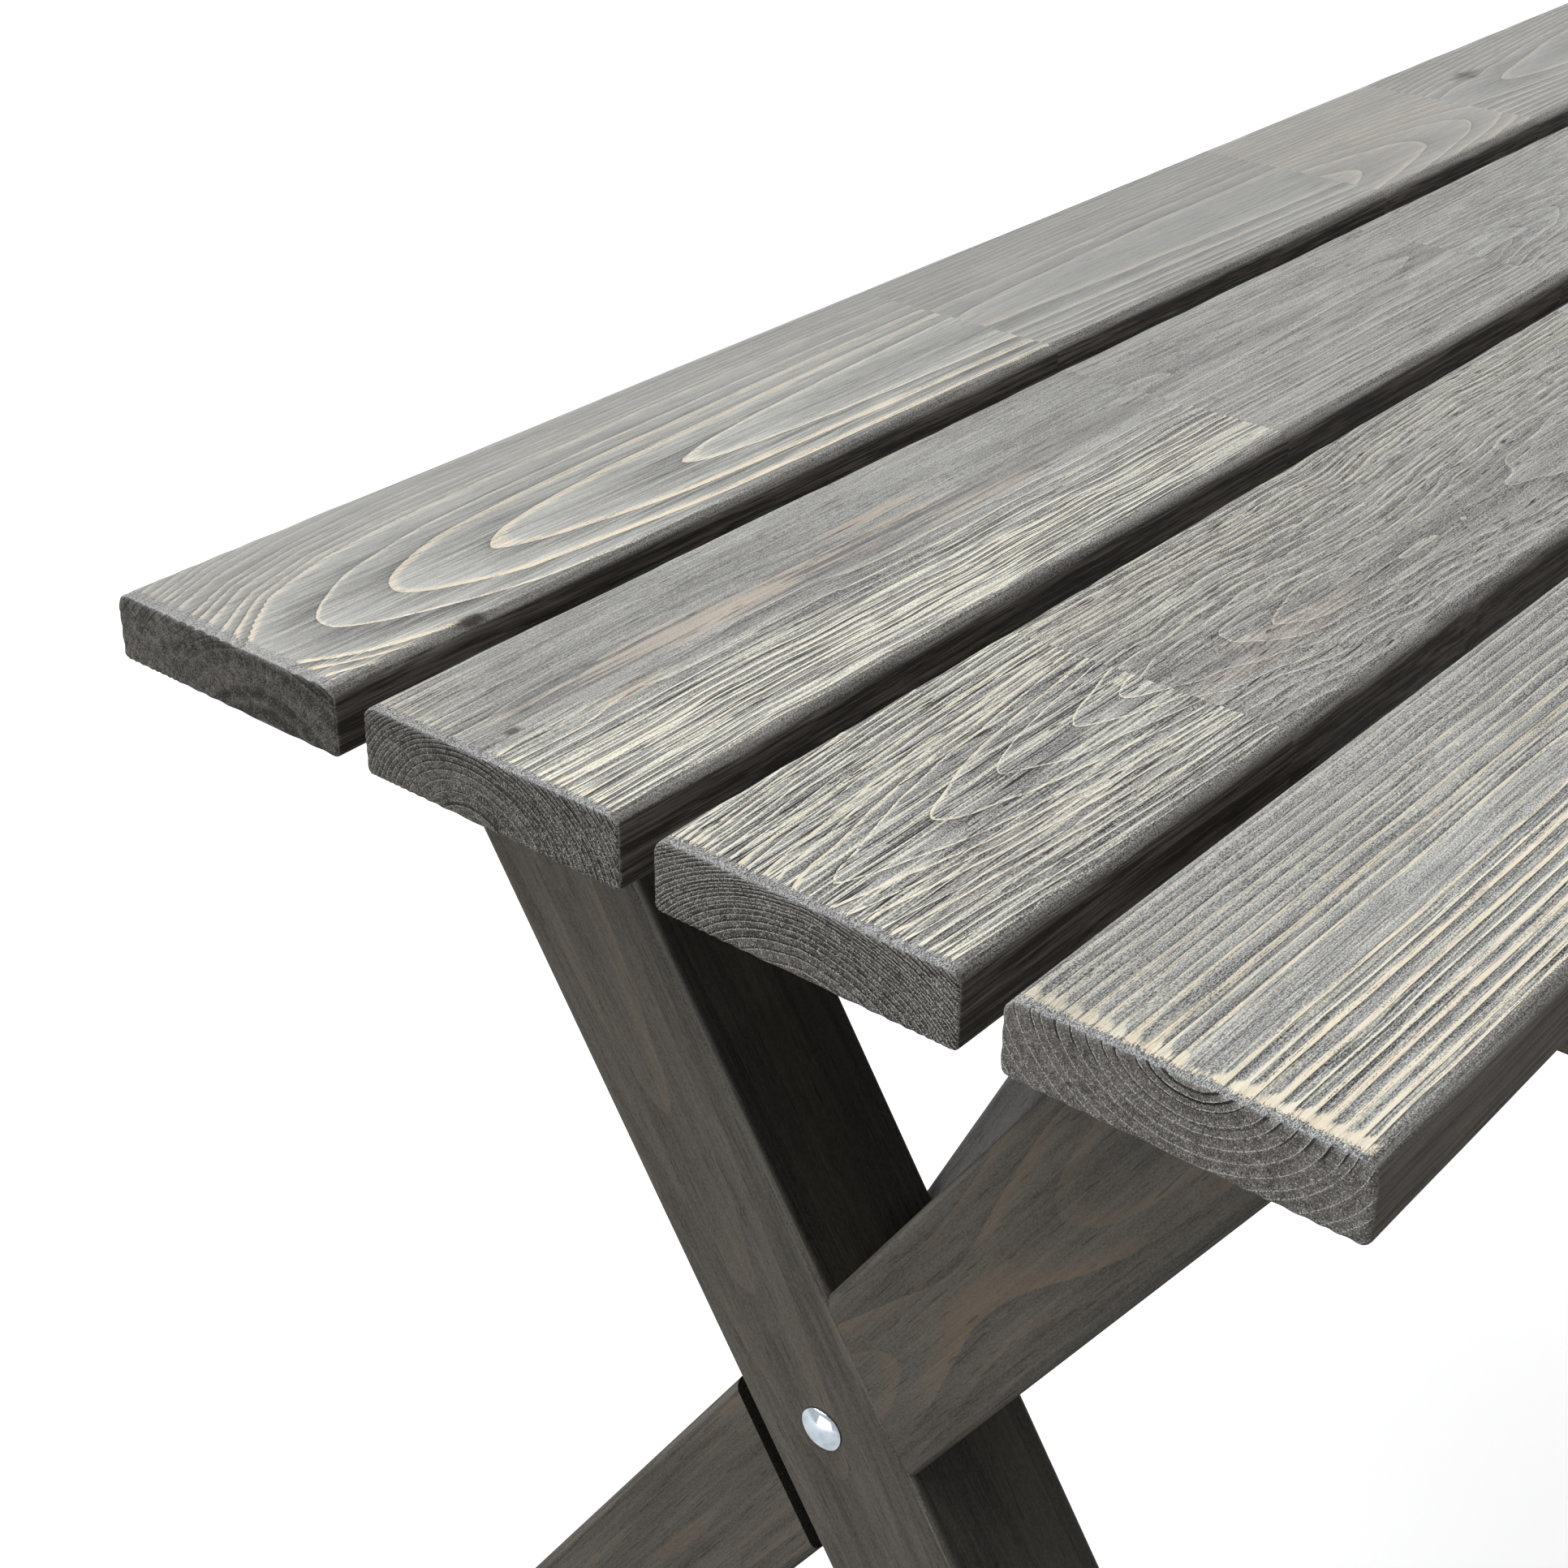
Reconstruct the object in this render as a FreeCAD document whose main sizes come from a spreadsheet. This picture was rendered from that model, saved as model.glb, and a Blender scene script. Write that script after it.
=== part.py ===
"""A narrow outdoor table top of four brushed boards on two cross-halved X frames.

Axes: +X runs along the boards, from the near end to the far end, +Z is up, and the floor is at z = 0
under the middle of the top. All sizes are in millimetres. The two frames are the same piece of work,
so everything on the far frame is the near one turned half round about the upright axis.
"""
import FreeCAD, Part
import math
import os
import re
import Sketcher

SIZES = {
    # overall
    "table_length": 1500,
    "table_height": 720,
    # boards of the top
    "slat_width": 120,
    "slat_thickness": 28,
    "slat_gap": 14,
    "slat_top_round": 6,
    "slat_bottom_round": 3,
    "slat_end_round": 2,
    # X frames
    "post_size": 75,
    "post_round": 5,
    "leg_angle": 32.8,
    "crossing_drop": 332,
    "end_overhang": 102,
    "housing_slack": 4,
    # battens under the top
    "cleat_thickness": 45,
    "end_cleat_depth": 45,
    "centre_cleat_depth": 70,
    "cleat_inset": 6,
    "cleat_bevel": 9,
    "cleat_round": 3,
    # diagonal braces, boards on edge
    "brace_thickness": 20,
    "brace_depth": 95,
    "brace_round": 5,
    # carriage bolts, washers and nuts
    "bolt_diameter": 8,
    "bolt_head_diameter": 20,
    "bolt_head_height": 4.9,
    "bolt_head_rim": 0.8,
    "bolt_neck_length": 5,
    "bolt_end_chamfer": 1,
    "bolt_proud": 1.5,
    "washer_diameter": 24,
    "washer_thickness": 2,
    "nut_flats": 13,
    "nut_height": 6.5,
    "nut_recess_diameter": 26,
    "nut_recess_depth": 15,
    # wood screws
    "screw_diameter": 5,
    "screw_head_diameter": 11,
    "screw_head_height": 3.2,
    "screw_head_bevel": 1.2,
    "screw_tip": 6,
    "screw_socket": 5,
    "screw_socket_depth": 2,
    "screw_recess_diameter": 12.5,
    "end_cleat_screw_length": 50,
    "centre_cleat_screw_length": 70,
    "cleat_screw_bite": 22,
    "slat_screw_spacing": 76,
    "toe_screw_length": 45,
    "toe_screw_angle": 25,
    "toe_screw_inset": 17,
    "toe_screw_lift": 22,
    "toe_screw_spacing": 28,
    # clearances
    "hole_slack": 0.1,
    "hole_end_slack": 0.5,
}

SLAT_COUNT = 4
ENDS = {"near": 1, "far": -1}

# Formulas that several pieces share. The rise of a post over its run:
LEAN = "tan(leg_angle * 1 deg)"
# half a post, measured level across its slope
HALF_POST_LEVEL = "(post_size / 2 / cos(leg_angle * 1 deg))"
# from the crossing up to the underside of the boards, and down to the floor
LEG_RISE = "(crossing_drop - slat_thickness)"
LEG_FALL = "(table_height - crossing_drop)"
# from the middle of the top out to the outer face of a frame
FRAME_X = "(table_length / 2 - end_overhang)"
# the leg bolts pass through the middle of an end cleat, and through the middle of each leg at that height
LEG_BOLT_RISE = "(crossing_drop - slat_thickness - end_cleat_depth / 2)"
# a brace's run, from the inner face of a frame to the side of the centre cleat
BRACE_RUN = "(table_length / 2 - end_overhang - post_size - cleat_thickness / 2)"
# its upper edge starts at the bottom of the X's upper V, this far above the crossing
BRACE_TOP = "(post_size / 2 / sin(leg_angle * 1 deg))"
# its lower edge ends at the centre cleat's lower edge, which settles its slope
BRACE_LIFT = f"({LEG_RISE} - centre_cleat_depth - {BRACE_TOP})"
BRACE_ANGLE = (f"(atan({BRACE_LIFT} / {BRACE_RUN})"
               f" + asin(brace_depth / sqrt({BRACE_RUN}^2 + {BRACE_LIFT}^2)))")
# across a brace, the seats of its slanting screws reach just out to its sides
TOE_SEAT_Y = "(brace_thickness / 2 - screw_head_diameter / 2 * cos(toe_screw_angle * 1 deg))"
# a bolt is as long as what it clamps, its washer and nut, and what stands proud of the nut
BEYOND_SEAT = "washer_thickness + nut_height + bolt_proud"
# the cleats' screws are sunk from below until they bite far enough into the boards
SCREW_SINK = {kind: f"({kind}_cleat_depth - {kind}_cleat_screw_length + cleat_screw_bite)"
              for kind in ("end", "centre")}
# holes are a little wider than what passes through them
BOLT_HOLE = "bolt_diameter + hole_slack"
SCREW_HOLE = "screw_diameter + hole_slack"

doc = FreeCAD.newDocument("PicnicTableBench")
ALIAS = re.compile(r"\b(" + "|".join(SIZES) + r")\b")
nodes = []


def make_sheet():
    """The driving sizes, one named cell each."""
    sheet = doc.addObject("Spreadsheet::Sheet", "Sizes")
    for row, (name, value) in enumerate(SIZES.items(), start=1):
        sheet.set(f"A{row}", name)
        sheet.set(f"B{row}", str(value))
        sheet.setAlias(f"B{row}", name)
    doc.recompute()


def bind(thing, prop, formula):
    """Tie a property to a formula in the named sizes."""
    thing.setExpression(prop, ALIAS.sub(r"Sizes.\1", formula))


def new_body(label):
    body = doc.addObject("PartDesign::Body", label)
    body.Label = label
    return body


def sketch_on(body, role, offset="0"):
    """A sketch on one of the body's own planes, or at an offset in front of it."""
    plane = next(item for item in body.Origin.OriginFeatures if item.Role == role)
    sketch = body.newObject("Sketcher::SketchObject", "Outline")
    sketch.AttachmentSupport = [(plane, "")]
    sketch.MapMode = "FlatFace"
    bind(sketch, "AttachmentOffset.Base.z", offset)
    return sketch


def fix_point(sketch, item, point, place):
    """Set a point of a sketch's line or circle by its two distances from the sketch's origin."""
    for kind, formula in zip(("DistanceX", "DistanceY"), place):
        index = sketch.addConstraint(Sketcher.Constraint(kind, -1, 1, item, point, 1.0))
        bind(sketch, f"Constraints[{index}]", formula)


def draw_polygon(sketch, corners):
    """A closed outline through corners that are given as formulas."""
    count = len(corners)
    first = sketch.GeometryCount
    turns = [2 * math.pi * index / count for index in range(count)]
    rough = [FreeCAD.Vector(math.cos(turn), math.sin(turn), 0) * 100 for turn in turns]
    for index in range(count):
        sketch.addGeometry(Part.LineSegment(rough[index], rough[(index + 1) % count]))
    for index in range(count):
        following = first + (index + 1) % count
        sketch.addConstraint(Sketcher.Constraint("Coincident", first + index, 2, following, 1))
    for index, corner in enumerate(corners):
        fix_point(sketch, first + index, 1, corner)


def bulge_last_side(sketch, radius):
    """Give the last side of an outline the form of an arc, bulging outward, that keeps its two ends."""
    doc.recompute()
    side = sketch.GeometryCount - 1
    start, end = sketch.getPoint(side, 1), sketch.getPoint(side, 2)
    across = end - start
    outward = FreeCAD.Vector(-across.y, across.x, 0) * 0.2
    arc = sketch.addGeometry(Part.Arc(start, (start + end) / 2 + outward, end))
    arc_start = 1 if (sketch.getPoint(arc, 1) - start).Length < 1e-6 else 2
    sketch.setConstruction(side, True)
    sketch.addConstraint(Sketcher.Constraint("Coincident", arc, arc_start, side, 1))
    sketch.addConstraint(Sketcher.Constraint("Coincident", arc, 3 - arc_start, side, 2))
    index = sketch.addConstraint(Sketcher.Constraint("Radius", arc, sketch.Geometry[arc].Radius))
    bind(sketch, f"Constraints[{index}]", radius)
    doc.recompute()


def draw_circles(sketch, centres, diameter):
    """Circles of one diameter, with centres that are given as formulas."""
    for number, centre in enumerate(centres):
        middle = FreeCAD.Vector(10 * number, 10, 0)
        item = sketch.addGeometry(Part.Circle(middle, FreeCAD.Vector(0, 0, 1), 1))
        index = sketch.addConstraint(Sketcher.Constraint("Diameter", item, 2.0))
        bind(sketch, f"Constraints[{index}]", diameter)
        fix_point(sketch, item, 3, centre)


def pad(body, sketch, length, both_ways=False):
    feature = body.newObject("PartDesign::Pad", "Pad")
    feature.Profile = sketch
    bind(feature, "Length", length)
    if both_ways:
        feature.SideType = "Symmetric"
    doc.recompute()


def cut(body, sketch, depth=None, forward=False, both_ways=False):
    """Pocket the sketch against its plane's normal, or forward along it; with no depth, right through."""
    before = body.Shape.Volume
    feature = body.newObject("PartDesign::Pocket", "Pocket")
    feature.Profile = sketch
    feature.Reversed = forward
    if both_ways:
        feature.SideType = "Symmetric"
    if depth is None:
        feature.Type = "ThroughAll"
    else:
        bind(feature, "Length", depth)
    doc.recompute()
    if not body.Shape.Volume < before:
        raise RuntimeError(f"a pocket of {body.Label} cuts nothing")


def spin(body, sketch, axis, kind="Revolution"):
    """Turn the sketch full circle about its own horizontal or vertical axis."""
    feature = body.newObject(f"PartDesign::{kind}", kind)
    feature.Profile = sketch
    feature.ReferenceAxis = (sketch, [axis])
    feature.Angle = 360
    doc.recompute()


def round_edges(body, radius, chosen):
    """Round the edges of the body so far that pass the test chosen(start, end)."""
    base = body.Tip
    names = []
    for number, edge in enumerate(body.Shape.Edges, start=1):
        if chosen(edge.Vertexes[0].Point, edge.Vertexes[-1].Point):
            names.append(f"Edge{number}")
    feature = body.newObject("PartDesign::Fillet", "Rounding")
    feature.Base = (base, names)
    bind(feature, "Radius", radius)
    doc.recompute()


def runs_along(direction):
    """A test for straight edges that lie along a direction."""
    def test(start, end):
        span = end - start
        return span.Length > 1 and span.cross(direction).Length < 1e-4 * span.Length * direction.Length
    return test


def place(thing, x, y, z, axis=(0, 0, 1), degrees=0):
    """Turn a piece about an axis and bind where it stands."""
    turn = FreeCAD.Rotation(FreeCAD.Vector(*axis), degrees)
    thing.Placement = FreeCAD.Placement(FreeCAD.Vector(0, 0, 0), turn)
    for letter, formula in zip("xyz", (x, y, z)):
        bind(thing, f"Placement.Base.{letter}", formula)


def place_on_frame(thing, end, x="0", y="0", z="0", axis=(0, 0, 1), degrees=None):
    """Stand a piece in a frame's own axes: x inward from its outer face, y across, z up from the crossing.

    The far frame is the near one turned half round about the upright axis.
    """
    side = ENDS[end]
    if degrees is None:
        degrees = 0 if side == 1 else 180
    place(thing, f"{side} * (({x}) - {FRAME_X})", f"{side} * ({y})", f"{LEG_FALL} + ({z})", axis, degrees)


def slat_middle(number):
    """How far board number 0 to 3 lies from the centre line; board 0 is at +Y."""
    return f"({(SLAT_COUNT - 1) / 2 - number} * (slat_width + slat_gap))"


def slat_screw_places(x):
    """Two screws under each board, at x."""
    places = []
    for number in range(SLAT_COUNT):
        for side in (1, -1):
            places.append((x, f"{slat_middle(number)} + {side} * slat_screw_spacing / 2"))
    return places


def make_slat(number):
    """A board of the top: rounded long edges, eased ends, and blind screw holes from below."""
    body = new_body(f"top_slat_{number + 1}")
    outline = sketch_on(body, "YZ_Plane")
    corners = [("slat_width / 2", "0"), ("slat_width / 2", "slat_thickness"),
               ("-slat_width / 2", "slat_thickness"), ("-slat_width / 2", "0")]
    draw_polygon(outline, corners)
    pad(body, outline, "table_length", both_ways=True)
    lengthways = runs_along(FreeCAD.Vector(1, 0, 0))
    round_edges(body, "slat_top_round", lambda a, b: lengthways(a, b) and a.z > 1)
    round_edges(body, "slat_bottom_round", lambda a, b: lengthways(a, b) and abs(a.z) < 1e-6)
    end_x = body.Shape.BoundBox.XMax
    at_end = lambda a, b: abs(abs(a.x) - end_x) < 1e-6 and abs(a.x - b.x) < 1e-6
    round_edges(body, "slat_end_round", at_end)
    holes = sketch_on(body, "XY_Plane")
    rows = ["0"] + [f"{side} * ({FRAME_X} - post_size - cleat_thickness / 2)" for side in (1, -1)]
    centres = [(x, f"{side} * slat_screw_spacing / 2") for x in rows for side in (1, -1)]
    draw_circles(holes, centres, SCREW_HOLE)
    cut(body, holes, "cleat_screw_bite + hole_end_slack", forward=True)
    place(body, "0", slat_middle(number), "table_height - slat_thickness")
    nodes.append(body)


def band(lean, slack="0"):
    """The four corners, in the plane of the X, of a stretch of post that leans to +Y (1) or -Y (-1).

    The slack widens it on its +Y side.
    """
    reach = "(2 * post_size)"
    left = f"{HALF_POST_LEVEL} + {slack} / cos(leg_angle * 1 deg)"
    return [(f"{lean} * {reach} * {LEAN} + {left}", reach),
            (f"{lean} * {reach} * {LEAN} - {HALF_POST_LEVEL}", reach),
            (f"-{lean} * {reach} * {LEAN} - {HALF_POST_LEVEL}", f"-{reach}"),
            (f"-{lean} * {reach} * {LEAN} + {left}", f"-{reach}")]


def make_leg(end, letter):
    """A square post, cut level at head and foot, halved over the other post at the crossing.

    Leg A runs on through the crossing at the outer face, and its inner half is housed for leg B.
    Leg B is housed for leg A at the outer face, a little too wide on one side.
    """
    lean = 1 if letter == "a" else -1
    body = new_body(f"{end}_leg_{letter}")
    outline = sketch_on(body, "YZ_Plane")
    head = f"{lean} * {LEG_RISE} * {LEAN}"
    foot = f"-{lean} * {LEG_FALL} * {LEAN}"
    corners = [(f"{head} + {HALF_POST_LEVEL}", LEG_RISE), (f"{head} - {HALF_POST_LEVEL}", LEG_RISE),
               (f"{foot} - {HALF_POST_LEVEL}", f"-{LEG_FALL}"), (f"{foot} + {HALF_POST_LEVEL}", f"-{LEG_FALL}")]
    draw_polygon(outline, corners)
    pad(body, outline, "post_size")
    slope = max((edge.Vertexes[-1].Point - edge.Vertexes[0].Point for edge in body.Shape.Edges),
                key=lambda span: span.Length)
    round_edges(body, "post_round", runs_along(slope))
    if letter == "a":
        housing = sketch_on(body, "YZ_Plane", "post_size / 2")
        draw_polygon(housing, band(-lean))
        cut(body, housing, forward=True)
    else:
        housing = sketch_on(body, "YZ_Plane", "post_size / 2")
        draw_polygon(housing, band(-lean, "housing_slack"))
        cut(body, housing)
    holes = sketch_on(body, "YZ_Plane")
    leg_bolt = (f"{lean} * {LEG_BOLT_RISE} * {LEAN}", LEG_BOLT_RISE)
    draw_circles(holes, [("0", "0"), leg_bolt], BOLT_HOLE)
    cut(body, holes, forward=True)
    cut_neck_socket(body, leg_bolt)
    if letter == "a":
        cut_neck_socket(body, ("0", "0"))
    else:
        recess = sketch_on(body, "YZ_Plane", "post_size")
        draw_circles(recess, [("0", "0")], "nut_recess_diameter")
        cut(body, recess, "nut_recess_depth")
        for x, side, z in toe_screw_places("foot"):
            drill_toe_hole(body, f"post_size + {x}", side, z)
    place_on_frame(body, end)
    nodes.append(body)


def square(side, centre=("0", "0")):
    """The corners of a square about a centre."""
    return [(f"{centre[0]} + {across} * ({side}) / 2", f"{centre[1]} + {up} * ({side}) / 2")
            for across, up in ((1, 1), (-1, 1), (-1, -1), (1, -1))]


def cut_neck_socket(body, centre):
    """The square seat that a carriage bolt's neck presses into the outer face of a leg."""
    socket = sketch_on(body, "YZ_Plane")
    draw_polygon(socket, square(BOLT_HOLE, centre))
    cut(body, socket, "bolt_neck_length + hole_slack", forward=True)


def toe_screw_places(end):
    """Where the screws of a brace's foot or head have their seats.

    Each is (x, side, z) in the brace's own axes: x inward from the frame's inner face, z up from the
    crossing, and the side of the brace, +Y (1) or -Y (-1), that the screw is driven from.
    """
    if end == "foot":
        return [("toe_screw_inset", side, f"toe_screw_lift + {step} * toe_screw_spacing")
                for step, side in enumerate((-1, 1))]
    return [(f"{BRACE_RUN} - toe_screw_inset", side,
             f"{LEG_RISE} - centre_cleat_depth / 2 + {side} * toe_screw_spacing / 2") for side in (1, -1)]


def toe_sketch(body, x, side, z, towards_head=False, turned=False):
    """A sketch at a slanting screw's seat, square to the screw, facing out of the wood.

    Turned, it is for a piece that the far brace's screw enters, in that piece's own axes.
    """
    sketch = sketch_on(body, "YZ_Plane")
    degrees = f"{side} * toe_screw_angle"
    if towards_head:
        degrees = f"{side} * (180 - toe_screw_angle)"
    y = f"{side} * {TOE_SEAT_Y}"
    if turned:
        x, y = f"-({x})", f"-{side} * {TOE_SEAT_Y}"
        degrees = f"{degrees} + 180"
    upright = FreeCAD.Rotation(FreeCAD.Vector(0, 1, 0), 1)
    sketch.AttachmentOffset = FreeCAD.Placement(FreeCAD.Vector(0, 0, 0), upright)
    for letter, formula in zip("xyz", (y, z, x)):
        bind(sketch, f"AttachmentOffset.Base.{letter}", formula)
    bind(sketch, "AttachmentOffset.Rotation.Angle", degrees)
    return sketch


def drill_toe_hole(body, x, side, z, **how):
    """The blind hole of a slanting screw in the piece that it holds the brace to."""
    hole = toe_sketch(body, x, side, z, **how)
    draw_circles(hole, [("0", "0")], SCREW_HOLE)
    cut(body, hole, "toe_screw_length + hole_end_slack")


def make_cleat(label, kind):
    """A batten across the underside of the boards, its lower corners bevelled.

    Its kind, end or centre, settles its depth. The holes for the screws into the boards are sunk from
    below.
    """
    body = new_body(label)
    depth = f"{kind}_cleat_depth"
    outline = sketch_on(body, "YZ_Plane")
    half = f"({SLAT_COUNT} * slat_width / 2 + {SLAT_COUNT - 1} * slat_gap / 2 - cleat_inset)"
    corners = [(half, depth), (f"-{half}", depth), (f"-{half}", "cleat_bevel"),
               (f"-{half} + cleat_bevel", "0"), (f"{half} - cleat_bevel", "0"), (half, "cleat_bevel")]
    draw_polygon(outline, corners)
    pad(body, outline, "cleat_thickness", both_ways=True)
    across = runs_along(FreeCAD.Vector(0, 1, 0))
    round_edges(body, "cleat_round", lambda a, b: across(a, b) and abs(a.z) < 1e-6)
    holes = sketch_on(body, "XY_Plane")
    draw_circles(holes, slat_screw_places("0"), SCREW_HOLE)
    cut(body, holes, forward=True)
    recesses = sketch_on(body, "XY_Plane")
    draw_circles(recesses, slat_screw_places("0"), "screw_recess_diameter")
    cut(body, recesses, SCREW_SINK[kind], forward=True)
    nodes.append(body)
    return body


def make_end_cleat(end):
    """The cleat behind a frame's leg heads, with the leg bolts through it."""
    body = make_cleat(f"{end}_cleat", "end")
    holes = sketch_on(body, "YZ_Plane")
    centres = [(f"{side} * {LEG_BOLT_RISE} * {LEAN}", "end_cleat_depth / 2") for side in (1, -1)]
    draw_circles(holes, centres, BOLT_HOLE)
    cut(body, holes, both_ways=True)
    place_on_frame(body, end, x="post_size + cleat_thickness / 2", z=f"{LEG_RISE} - end_cleat_depth")


def make_centre_cleat():
    """The cleat at mid-length, which a brace butts against on each side."""
    body = make_cleat("centre_cleat", "centre")
    for x, side, z in toe_screw_places("head"):
        from_middle = f"{x} - {BRACE_RUN} - cleat_thickness / 2"
        from_bottom = f"{z} - {LEG_RISE} + centre_cleat_depth"
        for turned in (False, True):
            drill_toe_hole(body, from_middle, side, from_bottom, towards_head=True, turned=turned)
    place(body, "0", "0", "table_height - slat_thickness - centre_cleat_depth")


def make_brace(end):
    """A board on edge in the middle plane, from the back of the crossing up to the centre cleat.

    Its foot is cut plumb against the frame. Its head is cut level under the boards, and plumb against
    the cleat.
    """
    body = new_body(f"{end}_brace")
    outline = sketch_on(body, "XZ_Plane")
    plumb = f"brace_depth / cos({BRACE_ANGLE})"
    corners = [("0", f"{BRACE_TOP} - {plumb}"), ("0", BRACE_TOP),
               (f"({LEG_RISE} - {BRACE_TOP}) / tan({BRACE_ANGLE})", LEG_RISE), (BRACE_RUN, LEG_RISE),
               (BRACE_RUN, f"{LEG_RISE} - centre_cleat_depth")]
    draw_polygon(outline, corners)
    pad(body, outline, "brace_thickness", both_ways=True)
    spans = [edge.Vertexes[-1].Point - edge.Vertexes[0].Point for edge in body.Shape.Edges]
    round_edges(body, "brace_round", runs_along(max(spans, key=lambda span: span.Length)))
    for brace_end in ("foot", "head"):
        at_head = brace_end == "head"
        for x, side, z in toe_screw_places(brace_end):
            recess = toe_sketch(body, x, side, z, towards_head=at_head)
            draw_circles(recess, [("0", "0")], "screw_recess_diameter")
            cut(body, recess, forward=True)
            hole = toe_sketch(body, x, side, z, towards_head=at_head)
            draw_circles(hole, [("0", "0")], SCREW_HOLE)
            cut(body, hole, "toe_screw_length")
    place_on_frame(body, end, x="post_size")
    nodes.append(body)


def make_carriage_bolt(label, length):
    """A round domed head with its seat at x = 0, a square neck, and a plain shank along +X."""
    body = new_body(label)
    corners = [("-bolt_head_rim", "bolt_head_diameter / 2"), ("0", "bolt_head_diameter / 2"),
               ("0", "bolt_diameter / 2"), (f"{length} - bolt_end_chamfer", "bolt_diameter / 2"),
               (length, "bolt_diameter / 2 - bolt_end_chamfer"), (length, "0"), ("-bolt_head_height", "0")]
    profile = sketch_on(body, "XZ_Plane")
    draw_polygon(profile, corners)
    dome_rise = "(bolt_head_height - bolt_head_rim)"
    bulge_last_side(profile, f"((bolt_head_diameter / 2)^2 + {dome_rise}^2) / 2 / {dome_rise}")
    spin(body, profile, "H_Axis")
    neck = sketch_on(body, "YZ_Plane")
    draw_polygon(neck, square("bolt_diameter"))
    pad(body, neck, "bolt_neck_length")
    return body


def make_washer(label):
    body = new_body(label)
    ring = sketch_on(body, "YZ_Plane")
    draw_circles(ring, [("0", "0")], "washer_diameter")
    draw_circles(ring, [("0", "0")], BOLT_HOLE)
    pad(body, ring, "washer_thickness")
    return body


def make_nut(label):
    """A hexagon nut with its seat at x = 0 and its outer corners turned off at 30 degrees."""
    body = new_body(label)
    outline = sketch_on(body, "YZ_Plane")
    reach = "(nut_flats / 2 / cos(30 deg))"
    corners = [(f"{reach} * cos({60 * step} deg)", f"{reach} * sin({60 * step} deg)") for step in range(6)]
    draw_polygon(outline, corners)
    draw_circles(outline, [("0", "0")], BOLT_HOLE)
    pad(body, outline, "nut_height")
    corner_cut = sketch_on(body, "XZ_Plane")
    edge = "(nut_flats / 2)"
    draw_polygon(corner_cut, [("nut_height", edge), ("nut_height", f"1.3 * {edge}"),
                              (f"nut_height - 0.3 * {edge} * tan(30 deg)", f"1.3 * {edge}")])
    spin(body, corner_cut, "H_Axis", "Groove")
    return body


def make_screw(label, length):
    """A wood screw along +Z: a flat-seated head below z = 0 with a six-sided socket, and a pointed shank."""
    body = new_body(label)
    profile = sketch_on(body, "XZ_Plane")
    corners = [("0", "-screw_head_height"), ("screw_head_diameter / 2 - screw_head_bevel", "-screw_head_height"),
               ("screw_head_diameter / 2", "-screw_head_height + screw_head_bevel"),
               ("screw_head_diameter / 2", "0"), ("screw_diameter / 2", "0"),
               ("screw_diameter / 2", f"{length} - screw_tip"), ("0", length)]
    draw_polygon(profile, corners)
    spin(body, profile, "V_Axis")
    socket = sketch_on(body, "XY_Plane", "-screw_head_height")
    corners = [(f"screw_socket / 2 * cos({60 * step} deg)", f"screw_socket / 2 * sin({60 * step} deg)")
               for step in range(6)]
    draw_polygon(socket, corners)
    cut(body, socket, "screw_socket_depth", forward=True)
    return body


def make_group(label, copies):
    """Separate copies of one fastener, kept as one sub-part."""
    group = doc.addObject("Part::Compound", label)
    group.Label = label
    group.Links = copies
    nodes.append(group)


def copy_of(fastener):
    link = doc.addObject("App::Link", f"{fastener.Name}_copy")
    link.LinkedObject = fastener
    return link


def copy_on_frame(fastener, end, **where):
    link = copy_of(fastener)
    place_on_frame(link, end, **where)
    return link


def make_bolts():
    """The crossing bolts and leg bolts, each with its washer and nut."""
    crossing_floor = "post_size - nut_recess_depth"
    cleat_back = "post_size + cleat_thickness"
    crossing_bolt = make_carriage_bolt("crossing_bolt_pattern", f"{crossing_floor} + {BEYOND_SEAT}")
    leg_bolt = make_carriage_bolt("leg_bolt_pattern", f"{cleat_back} + {BEYOND_SEAT}")
    washer = make_washer("washer_pattern")
    nut = make_nut("nut_pattern")
    leg_places = [(f"{side} * {LEG_BOLT_RISE} * {LEAN}", LEG_BOLT_RISE) for side in (1, -1)]
    for end in ENDS:
        make_group(f"{end}_crossing_bolt", [copy_on_frame(crossing_bolt, end)])
        make_group(f"{end}_leg_bolts", [copy_on_frame(leg_bolt, end, y=y, z=z) for y, z in leg_places])
    make_group("crossing_washers", [copy_on_frame(washer, end, x=crossing_floor) for end in ENDS])
    make_group("crossing_nuts", [copy_on_frame(nut, end, x=f"{crossing_floor} + washer_thickness")
                                 for end in ENDS])
    make_group("leg_washers", [copy_on_frame(washer, end, x=cleat_back, y=y, z=z)
                               for end in ENDS for y, z in leg_places])
    make_group("leg_nuts", [copy_on_frame(nut, end, x=f"{cleat_back} + washer_thickness", y=y, z=z)
                            for end in ENDS for y, z in leg_places])


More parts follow.
